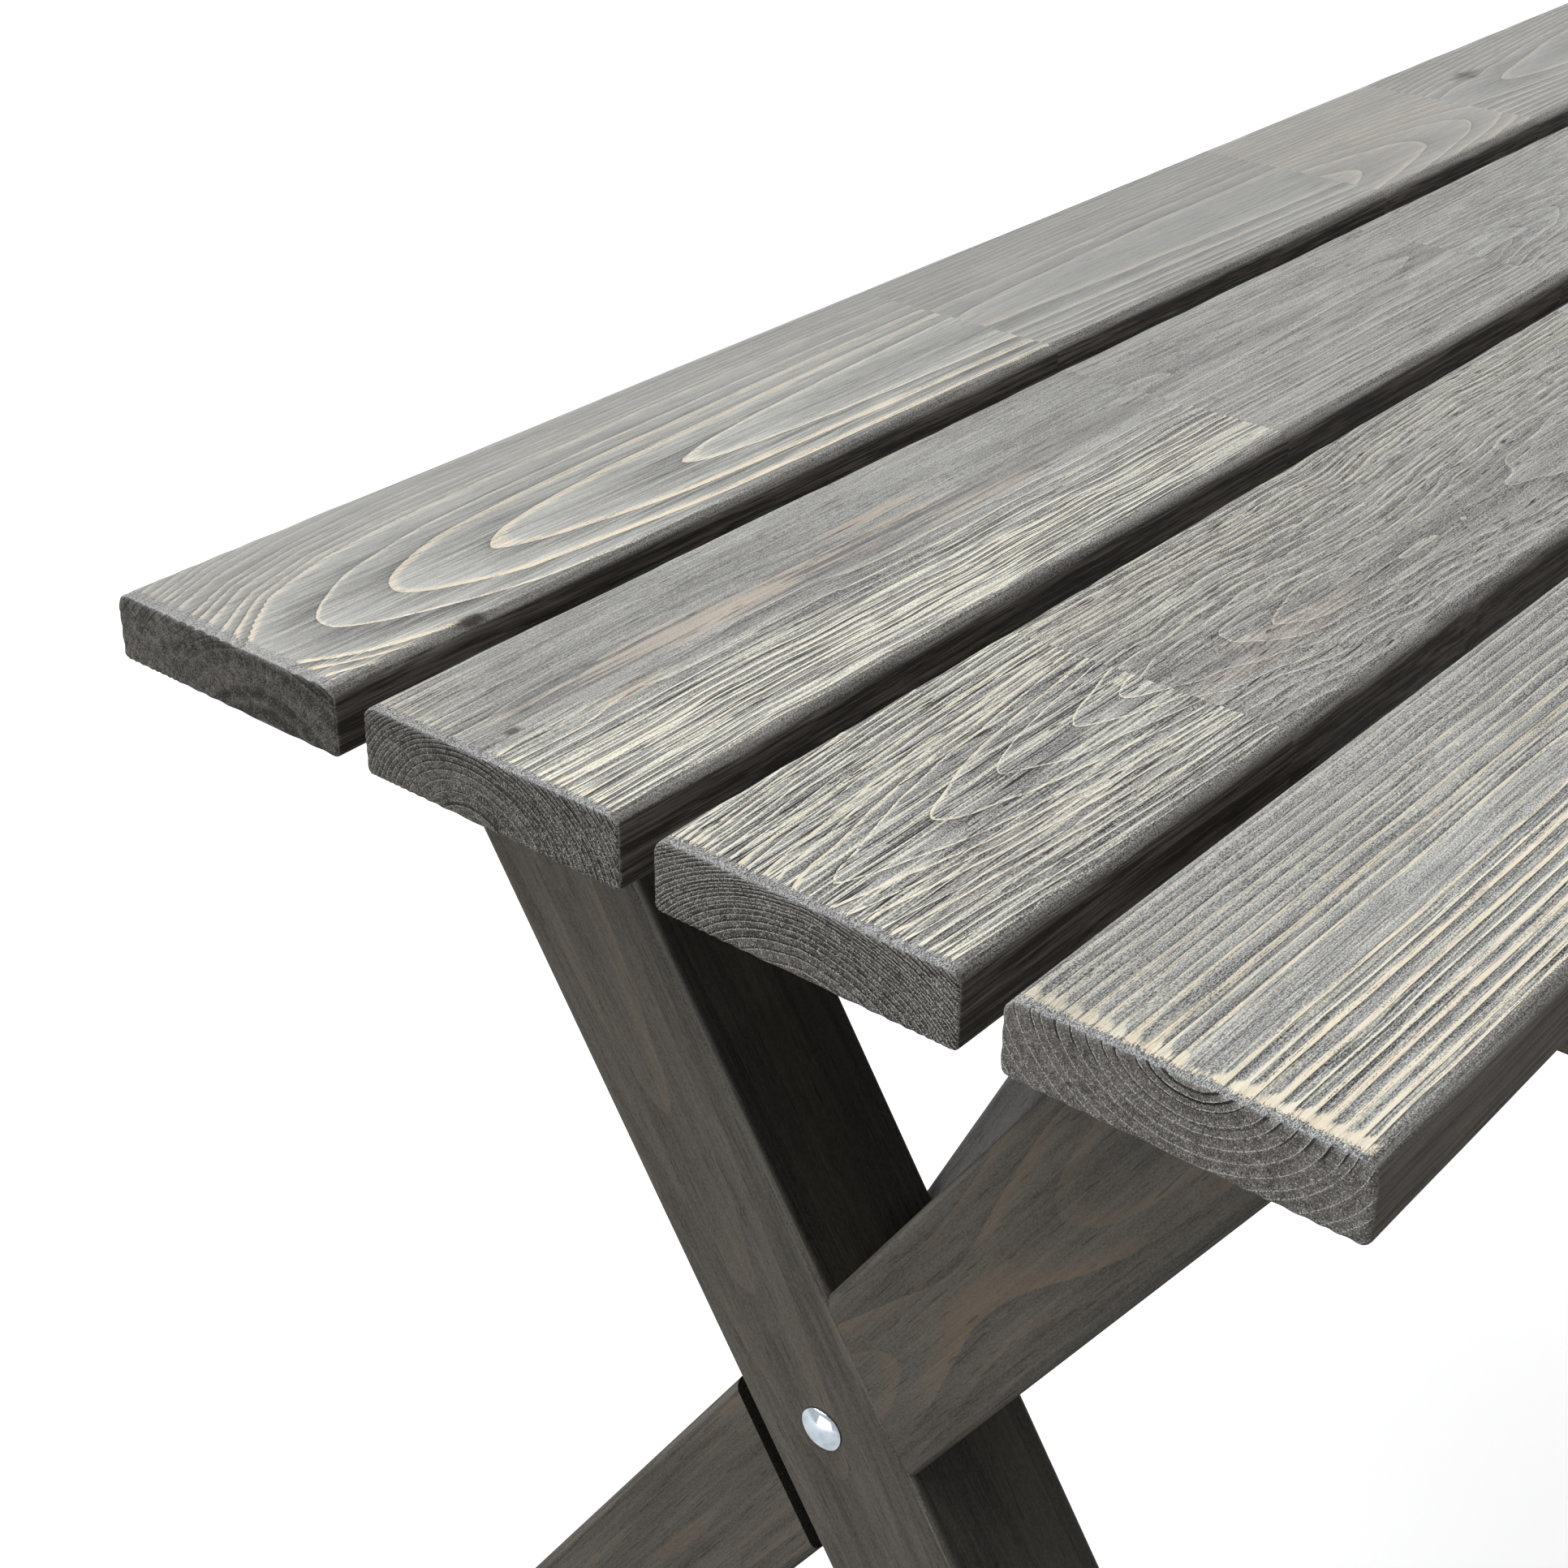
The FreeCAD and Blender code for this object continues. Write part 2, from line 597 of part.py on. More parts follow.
def make_screws():
    """The screws up through the cleats, and the slanting ones at both ends of each brace."""
    cleat_screw = {kind: make_screw(f"{kind}_cleat_screw_pattern", f"{kind}_cleat_screw_length")
                   for kind in SCREW_SINK}
    toe_screw = make_screw("toe_screw_pattern", "toe_screw_length")
    for end in ENDS:
        places = slat_screw_places("post_size + cleat_thickness / 2")
        seat = f"{LEG_RISE} - end_cleat_depth + {SCREW_SINK['end']}"
        make_group(f"{end}_cleat_screws",
                   [copy_on_frame(cleat_screw["end"], end, x=x, y=y, z=seat, degrees=0) for x, y in places])
    centre_copies = []
    for x, y in slat_screw_places("0"):
        link = copy_of(cleat_screw["centre"])
        place(link, x, y, f"table_height - slat_thickness - centre_cleat_depth + {SCREW_SINK['centre']}")
        centre_copies.append(link)
    make_group("centre_cleat_screws", centre_copies)
    turn = math.radians(SIZES["toe_screw_angle"])
    for brace_end, way in (("foot", -1), ("head", 1)):
        copies = []
        for end, half_turn in ENDS.items():
            for x, side, z in toe_screw_places(brace_end):
                axis = (half_turn * side * math.sin(turn), half_turn * way * math.cos(turn), 0)
                copies.append(copy_on_frame(toe_screw, end, x=f"post_size + {x}", y=f"{side} * {TOE_SEAT_Y}",
                                            z=z, axis=axis, degrees=90))
        make_group(f"brace_{brace_end}_screws", copies)


def write_nodes():
    """Check everything, then write one file for each sub-part."""
    for item in doc.Objects:
        if "Invalid" in item.State or "Error" in item.State:
            raise RuntimeError(f"{item.Label} did not build: {item.State}")
    for node in nodes:
        if node.Shape.isNull() or not node.Shape.isValid():
            raise RuntimeError(f"{node.Label} has no sound shape")
    os.makedirs("parts", exist_ok=True)
    for node in nodes:
        node.Shape.exportStep(f"parts/{node.Label}.step")
        box = node.Shape.BoundBox
        print(f"{node.Label}: {len(node.Shape.Solids)} solid(s), "
              f"{box.XLength:.1f} x {box.YLength:.1f} x {box.ZLength:.1f} mm")


make_sheet()
for slat_number in range(SLAT_COUNT):
    make_slat(slat_number)
for frame_end in ENDS:
    for leg_letter in "ab":
        make_leg(frame_end, leg_letter)
    make_end_cleat(frame_end)
    make_brace(frame_end)
make_centre_cleat()
make_bolts()
make_screws()
doc.recompute()
write_nodes()
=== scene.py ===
# %% [markdown]
# # A brushed, grey-stained table bench
# The bench has four softwood boards on two crossed post frames. Its exact solids were made in a CAD
# program. Here they come in as a fixed frame, and the looks are built around them: boards with real
# brushed relief, stained posts, bright bolts, soft light and a camera.
# All lengths are in metres, as Blender counts them. MM turns millimetres into metres.

import math

import bpy
import numpy as np
from mathutils import Matrix, Vector


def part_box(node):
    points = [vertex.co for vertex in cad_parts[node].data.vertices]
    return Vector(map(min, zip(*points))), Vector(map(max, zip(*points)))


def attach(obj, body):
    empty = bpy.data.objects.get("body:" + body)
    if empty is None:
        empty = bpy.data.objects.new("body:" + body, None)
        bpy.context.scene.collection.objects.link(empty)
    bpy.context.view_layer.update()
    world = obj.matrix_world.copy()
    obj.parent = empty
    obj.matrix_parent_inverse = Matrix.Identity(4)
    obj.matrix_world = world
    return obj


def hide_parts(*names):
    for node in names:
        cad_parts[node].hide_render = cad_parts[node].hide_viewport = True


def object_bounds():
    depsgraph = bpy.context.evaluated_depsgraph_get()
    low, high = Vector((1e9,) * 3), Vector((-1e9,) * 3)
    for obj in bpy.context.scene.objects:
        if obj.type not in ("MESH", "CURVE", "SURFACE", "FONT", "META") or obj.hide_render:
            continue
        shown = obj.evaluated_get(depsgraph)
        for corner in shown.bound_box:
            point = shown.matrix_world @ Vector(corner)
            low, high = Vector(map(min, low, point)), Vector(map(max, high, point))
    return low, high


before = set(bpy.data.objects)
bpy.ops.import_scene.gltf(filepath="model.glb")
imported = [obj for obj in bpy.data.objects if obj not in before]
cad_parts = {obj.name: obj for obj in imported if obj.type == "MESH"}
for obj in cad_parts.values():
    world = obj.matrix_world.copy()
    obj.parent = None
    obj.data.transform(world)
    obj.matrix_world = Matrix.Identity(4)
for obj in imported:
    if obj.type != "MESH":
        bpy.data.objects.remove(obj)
cad_box = [list(corner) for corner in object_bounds()]
MM = 0.001
frame_size = [round(b - a, 3) for a, b in zip(*cad_box)]
print("the frame holds", len(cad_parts), "pieces and is", frame_size, "m")

# %% [markdown]
# ## Camera
# A camera is aimed by turning its own three axes into the room: it looks along its -Z, with +Y up in
# the picture. Here it stands before the near end, a little to one side, and looks down over the
# boards. The focal length is that of a short telephoto, so that the boards narrow only gently with
# distance.

# %% Camera
CAMERA_PLACE = Vector((-1.2476, -0.4690, 1.1331))
LOOKING = Vector((0.66821, 0.54853, -0.50261))
RIGHT_HAND = Vector((0.63821, -0.76982, 0.00833))

camera_data = bpy.data.cameras.new("camera")
camera_data.lens = 58.35
camera_data.sensor_width = 36
camera = bpy.data.objects.new("camera", camera_data)
bpy.context.scene.collection.objects.link(camera)
picture_up = RIGHT_HAND.cross(LOOKING)
axes = Matrix((RIGHT_HAND, picture_up, -LOOKING)).transposed()
camera.matrix_world = Matrix.Translation(CAMERA_PLACE) @ axes.to_4x4()
bpy.context.scene.camera = camera
print("camera at", [round(v, 3) for v in camera.location])

# %% [markdown]
# ## Where each board lies
# The boards' sizes and places are read from the frame, so the new boards fill the same space as the
# solids that they stand for. The boards are numbered from the far side of the top, as the camera
# sees it.

# %% Board places
BOARDS = ["top_slat_1", "top_slat_2", "top_slat_3", "top_slat_4"]
board_box = {name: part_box(name) for name in BOARDS}
low, high = board_box[BOARDS[0]]
BOARD_LENGTH, BOARD_WIDTH, BOARD_THICKNESS = high - low
NEAR_END = low.x
TOP_LEVEL = high.z
print(f"boards {BOARD_LENGTH:.3f} x {BOARD_WIDTH:.3f} x {BOARD_THICKNESS:.3f} m, top at {TOP_LEVEL:.3f} m")

# %% [markdown]
# ## How a board gets its grain
# A board is cut from a log whose yearly rings lie round a line, the pith. If the rings are worked out
# in space, round a pith that drifts through or past the board, every face shows them as real wood
# does: nested arches where the pith rises towards the top face, straight lines beside them, and arcs
# on the end. A picture wrapped round the board would not agree from face to face.
# Each board is made of shorter lengths of wood, glued end to end, so it gets one pith for each.
# The numbers are in millimetres: along the board from the near end, across it from its middle line
# (towards the far side), and down from its top face.

# %% Smooth noise
HILLS = 64


def smooth_noise(u, v, seed):
    """Soft random hills from -1 to 1, one to a unit square, the same at every run."""
    rng = np.random.default_rng(seed)
    hills = rng.uniform(-1, 1, (HILLS, HILLS))
    iu, iv = np.floor(u).astype(int), np.floor(v).astype(int)
    fu, fv = u - iu, v - iv
    fu, fv = fu * fu * (3 - 2 * fu), fv * fv * (3 - 2 * fv)

    def row(step):
        """The hills on one side of each point's square, blended across it."""
        here, beside = [hills[(iu + step) % HILLS, (iv + shift) % HILLS] for shift in (0, 1)]
        return here * (1 - fv) + beside * fv

    return row(0) * (1 - fu) + row(1) * fu


def rise(x, start, end):
    """A smooth step from 0 at start to 1 at end."""
    t = np.clip((x - start) / (end - start), 0, 1)
    return t * t * (3 - 2 * t)


sample = smooth_noise(np.linspace(0, 3, 7), np.zeros(7), 1)
print("a walk over the hills:", sample.round(2).tolist())

# %% [markdown]
# Long boards without large knots are rare, so each slat is glued up from shorter lengths. A few
# numbers tell one length from another: its pith, its ring radii, and how grey, brown and clearly lined
# it is. The near lengths follow what the photographed boards show. The others are made up.

# %% The lengths of wood in each board
FARTHEST_RING = 160


def length_of_wood(end, pith, rings, growth, seed, flat=1.3, point=0.0, wander=1.0, tone=0.0, warm=0.0,
                   strength=(1.0, 1.0), fade=(0.0, 1.0), end_gain=0.55):
    """One glued length: where it ends, its pith as (along, across, down), its ring radii and its looks.

    After the given rings, each further one lies about growth beyond the last. The rings are flattened
    sideways by flat, point makes the arches pointed, and wander says how much the grain wanders. Tone
    and warm make the wood lighter and browner. Strength is how clearly the lines show on the far and on
    the near side, and fade is between which shares of the width it changes. The lines get clearer by
    end_gain towards the near end. Seed picks the random numbers.
    """
    radii = list(rings)
    rng = np.random.default_rng(seed)
    while radii[-1] < FARTHEST_RING:
        radii.append(radii[-1] + growth * rng.uniform(0.72, 1.28))
    return {"end": end, "pith": np.array(pith, float), "radii": np.array([0.0] + radii), "seed": seed,
            "flat": flat, "point": point, "wander": wander, "tone": tone, "warm": warm, "strength": strength,
            "fade": fade, "end_gain": end_gain}


WOOD = {
    "top_slat_1": [
        length_of_wood(442, [(0, -24, 42), (12, -22, 40), (33, -19, 35), (68, -17, 29.5), (115, -18, 23),
                             (220, -18, 16), (442, -18, 6)],
                       [5, 16, 23, 29.5, 35, 42.7, 44.5, 46.7, 49.9, 52.3, 54.4, 58.8, 61.9, 64.1], 2.6, 11,
                       tone=0.2, wander=0.8, strength=(0.0, 1.1), end_gain=0.2),
        length_of_wood(758, [(442, -9, 25), (758, -12, 20)], [8, 17, 26, 31, 35], 2.6, 12,
                       tone=-0.02, strength=(0.1, 0.4)),
        length_of_wood(947, [(758, -30, 20), (947, -24, 33)], [9, 16, 22, 27, 31], 2.4, 13,
                       tone=0.25, warm=0.6, strength=(0.15, 0.35)),
        length_of_wood(1500, [(947, -5, 30), (1200, 4, 20), (1500, 8, 34)], [9, 16, 22, 27, 31], 2.4, 14,
                       tone=-0.05, strength=(0.2, 0.4))],
    "top_slat_2": [
        length_of_wood(420, [(0, 7, 36), (90, 8, 36.2), (200, 7, 36.5), (420, 5, 36.8)],
                       [8, 14, 19, 23, 26.5, 29.5, 32, 34, 35.6], 1.45, 21, wander=1.5, tone=0.0, warm=0.05,
                       strength=(0.05, 1.3), fade=(0.4, 0.75)),
        length_of_wood(689, [(420, 20, 30), (689, 12, 33)], [10, 18, 25], 2.2, 22, tone=-0.12, warm=0.1,
                       strength=(0.15, 0.35)),
        length_of_wood(1100, [(689, -10, 26), (900, 0, 34), (1100, 4, 28)], [10, 18, 24], 2.0, 23,
                       wander=2.0, tone=-0.08, strength=(0.25, 0.4)),
        length_of_wood(1500, [(1100, 30, 60), (1500, 26, 52)], [10, 18, 24], 1.8, 24, tone=0.05,
                       strength=(0.3, 0.4))],
    "top_slat_3": [
        length_of_wood(190, [(0, -2, 51.2), (45, -1.5, 49.9), (88, -1, 48.5), (157, -1, 46.2), (190, -1, 45)],
                       [9, 16, 22, 27, 31, 34.5, 37.5, 40, 42.2, 44.2], 1.28, 31, flat=1.45, point=0.05,
                       wander=0.75, tone=0.05, warm=0.1, strength=(1.1, 0.7)),
        length_of_wood(640, [(190, -8, 39), (300, -16, 36), (388, -23, 34), (640, -20, 28)],
                       [9, 16, 22, 27, 31, 34, 36.5], 1.7, 32, flat=1.45, point=0.03, wander=2.6, tone=-0.15,
                       warm=0.25, strength=(0.75, 0.2)),
        length_of_wood(1050, [(640, 15, 24), (1050, 20, 40)], [9, 16, 22, 27, 31], 2.2, 33, tone=-0.05,
                       strength=(0.4, 0.4)),
        length_of_wood(1500, [(1050, -35, 45), (1500, -20, 22)], [9, 16, 22, 27, 31], 1.9, 34, tone=0.05,
                       strength=(0.4, 0.4))],
    "top_slat_4": [
        length_of_wood(610, [(0, -1.5, -7), (250, -2.5, -7.5), (610, -3, -9)],
                       [9.6, 12.5, 15.2, 19.9, 23, 26.7, 30.4, 34.2, 38, 40.2], 3.3, 41, wander=0.8,
                       tone=-0.1, strength=(0.2, 1.4), fade=(0.15, 0.7)),
        length_of_wood(1120, [(610, 10, 40), (900, 4, 27), (1120, 0, 18)], [9, 17, 24, 30, 35], 2.3, 42,
                       tone=0.0, strength=(0.4, 0.5)),
        length_of_wood(1500, [(1120, -28, 30), (1500, -30, 44)], [9, 17, 24, 30, 35], 2.0, 43, tone=-0.05,
                       warm=0.2, strength=(0.4, 0.5))],
}
print({name: len(lengths) for name, lengths in WOOD.items()}, "lengths of wood")

# %% [markdown]
# Small flaws break the pattern: a knot, a brown patch of resin, a chip on an edge. Each is a soft
# oval that darkens or warms the stain and pushes the rings aside. Its seven numbers are its place
# along and across, its half length and half width, how dark and how brown it is, and how far it pushes
# the rings.

# %% Flaws
FLAWS = {
    "top_slat_1": [(70, -56, 9, 3.5, 1.0, 0.0, 0.0), (1010, 20, 14, 8, 0.7, 0.6, 1.5)],
    "top_slat_2": [(20, 7, 5.5, 2.6, 0.9, 1.0, 0.8), (67, -4, 20, 4.5, 0.15, 0.85, 1.0),
                   (80, 16, 85, 9, 0.0, 0.8, 0.0), (185, 11, 110, 8.5, 0.0, 1.0, 0.0),
                   (275, 2, 80, 6, 0.0, 0.7, 0.0), (235, 24, 45, 4, 0.0, 0.8, 0.4),
                   (150, 0, 110, 3.5, 0.3, 0.0, 0.3), (340, 9, 100, 8, 0.32, 0.0, 0.5),
                   (860, -12, 14, 8, 0.7, 0.5, 2.0)],
    "top_slat_3": [(60, -34, 90, 16, 0.0, 0.25, 0.0), (250, -18, 80, 12, 0.1, 0.35, 0.0),
                   (905, 10, 15, 9, 0.8, 0.5, 2.0)],
    "top_slat_4": [(330, -20, 60, 6, 0.1, 0.2, 0.0), (1260, 18, 16, 9, 0.75, 0.6, 2.0)],
}


def flaw_masks(name, along, across):
    """How dark, how brown and how pushed aside the wood is at each point of a board."""
    dark, brown, push = np.zeros((3, len(along)))
    for x, a, half_length, half_width, darkness, brownness, pushing in FLAWS[name]:
        far = ((along - x) / half_length) ** 2 + ((across - a) / half_width) ** 2
        mask = 1 - rise(np.sqrt(far), 0.55, 1.0)
        dark = np.maximum(dark, darkness * mask)
        brown = np.maximum(brown, brownness * mask)
        push = push + pushing * np.exp(-far)
    return dark, brown, push


print({name: len(flaws) for name, flaws in FLAWS.items()}, "flaws")

# %% [markdown]
# The ring count of a point is how many rings lie between it and the pith. Its whole part numbers the
# year, and its fraction says how far through that year the wood had grown. The surface cuts the rings
# at a slant, so a ring may look wide there although it is thin in the log. That width is found from how
# fast the count changes along the surface.

# %% Rings in space
NARROWEST_RING, WIDEST_RING = 0.4, 40


def drift(wood, along, across):
    """How far the grain wanders sideways and in depth, in millimetres."""
    seed, wander = wood["seed"], wood["wander"]
    slow = smooth_noise(along / 120, across / 60 + 7, seed)
    quick = smooth_noise(along / 28, across / 14, seed + 1)
    slow_depth = smooth_noise(along / 70, across / 22, seed + 2)
    quick_depth = smooth_noise(along / 17, across / 7, seed + 3)
    return wander * (1.3 * slow + 0.35 * quick), wander * (0.5 * slow_depth + 0.16 * quick_depth)


def ring_count(wood, along, across, down, push):
    """How many rings lie between the pith and each point, and the point's angle round the pith."""
    pith_across = np.interp(along, wood["pith"][:, 0], wood["pith"][:, 1])
    pith_down = np.interp(along, wood["pith"][:, 0], wood["pith"][:, 2])
    sideways, deeper = drift(wood, along, across)
    side = (across - pith_across + sideways) / wood["flat"]
    depth = pith_down - down + deeper + push * np.sign(pith_down)
    radius = np.sqrt(side ** 2 + depth ** 2) + wood["point"] * np.sqrt(side ** 2 + 1.0)
    return np.interp(radius, wood["radii"], np.arange(len(wood["radii"]))), np.arctan2(side, depth)


def rings_on_surface(wood, points, normals, push):
    """The ring count at each point, the width of a ring as it shows on the surface there, and the angle."""
    count, angle = ring_count(wood, *points.T, push)
    step = 0.05  # mm
    slope = np.column_stack([(ring_count(wood, *(points + step * axis).T, push)[0] - count) / step
                             for axis in np.eye(3)])
    slope -= normals * (slope * normals).sum(axis=1, keepdims=True)
    steepness = np.maximum(np.linalg.norm(slope, axis=1), 1e-4)
    return count, np.clip(1 / steepness, NARROWEST_RING, WIDEST_RING), angle


wood = WOOD["top_slat_4"][0]
top_point = np.array([[20.0, 30.0, 0.0]])
count, width, _ = rings_on_surface(wood, top_point, np.array([[0.0, 0.0, -1.0]]), 0.0)
print(f"on slat 4, 30 mm off the middle: ring {count[0]:.2f}, {width[0]:.1f} mm wide on the surface")

# %% [markdown]
# ## A board's form
# A cube with a bevel would be quicker, but it has too few points for the relief that a wire brush
# leaves: it wears the soft early wood away and leaves the hard late wood standing in ridges. So the
# board's section is drawn as a closed loop of points, with large roundings above and small ones
# below, and swept along the board. The top and the underside have equally many points, so each end
# closes with a plain grid. Every point then sinks a little where the wood is soft.

# %% The section of a board
TOP_ROUND, BOTTOM_ROUND, END_ROUND = 6.0, 3.0, 2.0
ACROSS_STEPS, SIDE_STEPS = 150, 22


def section_side(start, end, turn, round_start, round_end, steps):
    """One side of the section, from the middle of one corner's rounding to the middle of the next.

    start and end are the square corners, and turn is the side's outward normal.
    """
    run = (end - start) / np.linalg.norm(end - start)
    straight = np.linalg.norm(end - start) - round_start - round_end
    arcs = round_start * math.pi / 4, round_end * math.pi / 4
    s = np.linspace(0, arcs[0] + straight + arcs[1], steps + 1)
    points, normals = np.zeros((2, steps + 1, 2))
    for i, here in enumerate(s):
        if here < arcs[0]:
            angle = math.pi / 4 - here / round_start
            normal = turn * math.cos(angle) - run * math.sin(angle)
            centre = start + run * round_start - turn * round_start
            points[i], normals[i] = centre + normal * round_start, normal
        elif here > arcs[0] + straight:
            angle = (here - arcs[0] - straight) / round_end
            normal = turn * math.cos(angle) + run * math.sin(angle)
            centre = end - run * round_end - turn * round_end
            points[i], normals[i] = centre + normal * round_end, normal
        else:
            points[i], normals[i] = start + run * (round_start + here - arcs[0]), turn
    return points, normals


def board_section(inset):
    """The loop of points (across, down) round a board's section, and their outward normals."""
    half, deep = BOARD_WIDTH / MM / 2 - inset, BOARD_THICKNESS / MM
    far_top, near_top = np.array([half, inset]), np.array([-half, inset])
    near_low, far_low = np.array([-half, deep - inset]), np.array([half, deep - inset])
    top, low = TOP_ROUND - inset, BOTTOM_ROUND - inset
    sides = [section_side(far_top, near_top, np.array([0.0, -1.0]), top, top, ACROSS_STEPS),
             section_side(near_top, near_low, np.array([-1.0, 0.0]), top, low, SIDE_STEPS),
             section_side(near_low, far_low, np.array([0.0, 1.0]), low, low, ACROSS_STEPS),
             section_side(far_low, far_top, np.array([1.0, 0.0]), low, top, SIDE_STEPS)]
    points = np.concatenate([side[0][:-1] for side in sides])
    normals = np.concatenate([side[1][:-1] for side in sides])
    return points, normals


print("a board's section has", len(board_section(0)[0]), "points")

# %% [markdown]
# The section is repeated at stations along the board. They lie close together near the photographed
# end, where every fibre shows, and farther apart beyond. Five stations round each end over, and one
# lies on each glue joint, so that no face has two lengths of wood in it.

# %% Stations along a board
NEAR_PART, MIDDLE_PART, LAST_PART = 300, 700, 60
NEAR_STEP, MIDDLE_STEP, FAR_STEP, LAST_STEP = 3.5, 5.5, 10, 5
JOINT_CLEARANCE = 1.5


def stations(lengths):
    """Where the section is repeated along a board, with its inset and the lengthways part of its normal."""
    whole = BOARD_LENGTH / MM
    angles = np.radians(np.linspace(0, 90, 5))
    rounding = [(END_ROUND * (1 - math.cos(t)), END_ROUND * (1 - math.sin(t)), math.cos(t)) for t in angles]
    steps = np.concatenate([np.arange(END_ROUND + 2, NEAR_PART, NEAR_STEP),
                            np.arange(NEAR_PART, MIDDLE_PART, MIDDLE_STEP),
                            np.arange(MIDDLE_PART, whole - LAST_PART, FAR_STEP),
                            np.arange(whole - LAST_PART, whole - END_ROUND - 2, LAST_STEP)])
    joints = [wood["end"] for wood in lengths[:-1]]
    clear = {round(float(x), 3) for x in steps
             if min(abs(x - joint) for joint in joints) > JOINT_CLEARANCE}
    middle = sorted(clear | set(joints))
    near = [(x, inset, -lengthways) for x, inset, lengthways in rounding]
    far = [(whole - x, inset, lengthways) for x, inset, lengthways in reversed(rounding)]
    return np.array(near + [(x, 0.0, 0.0) for x in middle] + far)


print("a board has", len(stations(WOOD[BOARDS[0]])), "stations")

# %% [markdown]
# The skin is a grid that runs round the loop and along the stations. Each end is closed by a second
# grid, stretched between the four sides of its loop as a sail is between four ropes. It shares its
# outer points with the skin, so a board is one closed mesh.

# %% Grids of points for a board
def board_grids(lengths):
    """All points of a board as (along, across, down), their normals, and the grids of point numbers
    that make its skin and its two ends."""
    rows = stations(lengths)
    points, normals = [], []
    for along, inset, lengthways in rows:
        loop, outward = board_section(inset)
        points.append(np.column_stack([np.full(len(loop), along), loop]))
        sideways = outward * math.sqrt(1 - lengthways ** 2)
        normals.append(np.column_stack([np.full(len(loop), lengthways), sideways]))
    loop_size = len(loop)
    skin = np.arange(len(rows) * loop_size).reshape(len(rows), loop_size)
    skin = np.column_stack([skin, skin[:, 0]])
    count = skin.max() + 1
    ends = []
    corner = np.cumsum([0, ACROSS_STEPS, SIDE_STEPS, ACROSS_STEPS, SIDE_STEPS])
    for row in (0, len(rows) - 1):
        around = skin[row]
        top, right = around[corner[0]:corner[1] + 1], around[corner[1]:corner[2] + 1]
        under, left = around[corner[2]:corner[3] + 1][::-1], around[corner[3]:corner[4] + 1][::-1]

        def place(numbers):
            """Where these points of the loop lie."""
            return points[row][numbers - row * loop_size]

        u = np.linspace(0, 1, ACROSS_STEPS + 1)[1:-1, None, None]
        v = np.linspace(0, 1, SIDE_STEPS + 1)[None, 1:-1, None]
        inner = ((1 - v) * place(top)[1:-1, None] + v * place(under)[1:-1, None]
                 + (1 - u) * place(left)[None, 1:-1] + u * place(right)[None, 1:-1]
                 - (1 - u) * (1 - v) * place(top)[0] - u * (1 - v) * place(top)[-1]
                 - (1 - u) * v * place(under)[0] - u * v * place(under)[-1])
        grid = np.zeros((ACROSS_STEPS + 1, SIDE_STEPS + 1), int)
        grid[:, 0], grid[:, -1], grid[0], grid[-1] = top, under, left, right
        inside = (ACROSS_STEPS - 1) * (SIDE_STEPS - 1)
        grid[1:-1, 1:-1] = count + np.arange(inside).reshape(ACROSS_STEPS - 1, -1)
        count += inside
        points.append(inner.reshape(-1, 3))
        normals.append(np.tile([rows[row][2], 0, 0], (len(points[-1]), 1)))
        ends.append(grid)
    return np.concatenate(points), np.concatenate(normals), skin, ends


def quads(grid, flip=False):
    """The four-sided faces of a grid of point numbers."""
    corners = [grid[:-1, :-1], grid[:-1, 1:], grid[1:, 1:], grid[1:, :-1]]
    if flip:
        corners = corners[::-1]
    return np.stack(corners, -1).reshape(-1, 4)


all_points, _, skin_grid, end_grids = board_grids(WOOD[BOARDS[0]])
print("a board has", len(all_points), "points, its skin is a grid of", skin_grid.shape, "points")
print("and each end one of", end_grids[0].shape)

# %% [markdown]
# ## Relief
# Each point sinks along its own normal, never outward, so the board stays inside its solid. The
# sinking follows the rings: least on the late wood, most between. Near the ends and along the upper
# edges the brush and the sander have cut deeper, which leaves the outline slightly toothed.

# %% Sinking the soft wood
FACE_RELIEF, EDGE_RELIEF, WAVES = 0.3, 0.75, 0.12


def sink(name, along, across, down, count, width):
    """How deep each point lies below the planed board, in millimetres."""
    soft = 0.5 - 0.5 * np.cos(2 * math.pi * count)
    plain = rise(width, 0.9, 2.6)
    from_end = np.minimum(along, BOARD_LENGTH / MM - along)
    from_edge = BOARD_WIDTH / MM / 2 - np.abs(across)
    seed = BOARDS.index(name)
    ragged = 0.5 + 0.5 * smooth_noise(along / 9, across / 5 + down / 4, 70 + seed)
    near_end = np.exp(-np.hypot(from_end, down) / 3.2)
    near_edge = 0.35 * np.exp(-np.hypot(from_edge, down) / 3.0)
    brushed = FACE_RELIEF * soft * (0.35 + 0.65 * plain)
    worn = EDGE_RELIEF * (near_end * (0.35 + 0.65 * soft) + near_edge) * ragged
    waves = WAVES * (0.5 + 0.5 * smooth_noise(along / 60, across / 25, 90 + seed))
    return brushed + worn + waves


print(f"away from ends and edges a point sinks by {FACE_RELIEF + WAVES:.2f} mm at most")

# %% [markdown]
# Now grids, flaws, rings and relief come together in one mesh. Several values are kept with it for the
# material to read: the ring count and ring width, the angle round the pith, the direction of the
# grain, the flaws and the looks of that length of wood. They are kept with the corners of the faces and
# not with the points, because two lengths of wood share the points of their glue joint, but each has
# its own rings there.

# %% Build one board
FADE_FROM, FADE_TO, FADE_LOSS, END_GAIN_REACH = 230, 440, 0.35, 30


def write_values(mesh, name, values):
    """Keep one value for each corner of each face."""
    layer = mesh.attributes.new(name, "FLOAT", "CORNER")
    layer.data.foreach_set("value", np.asarray(values, np.float32).ravel())


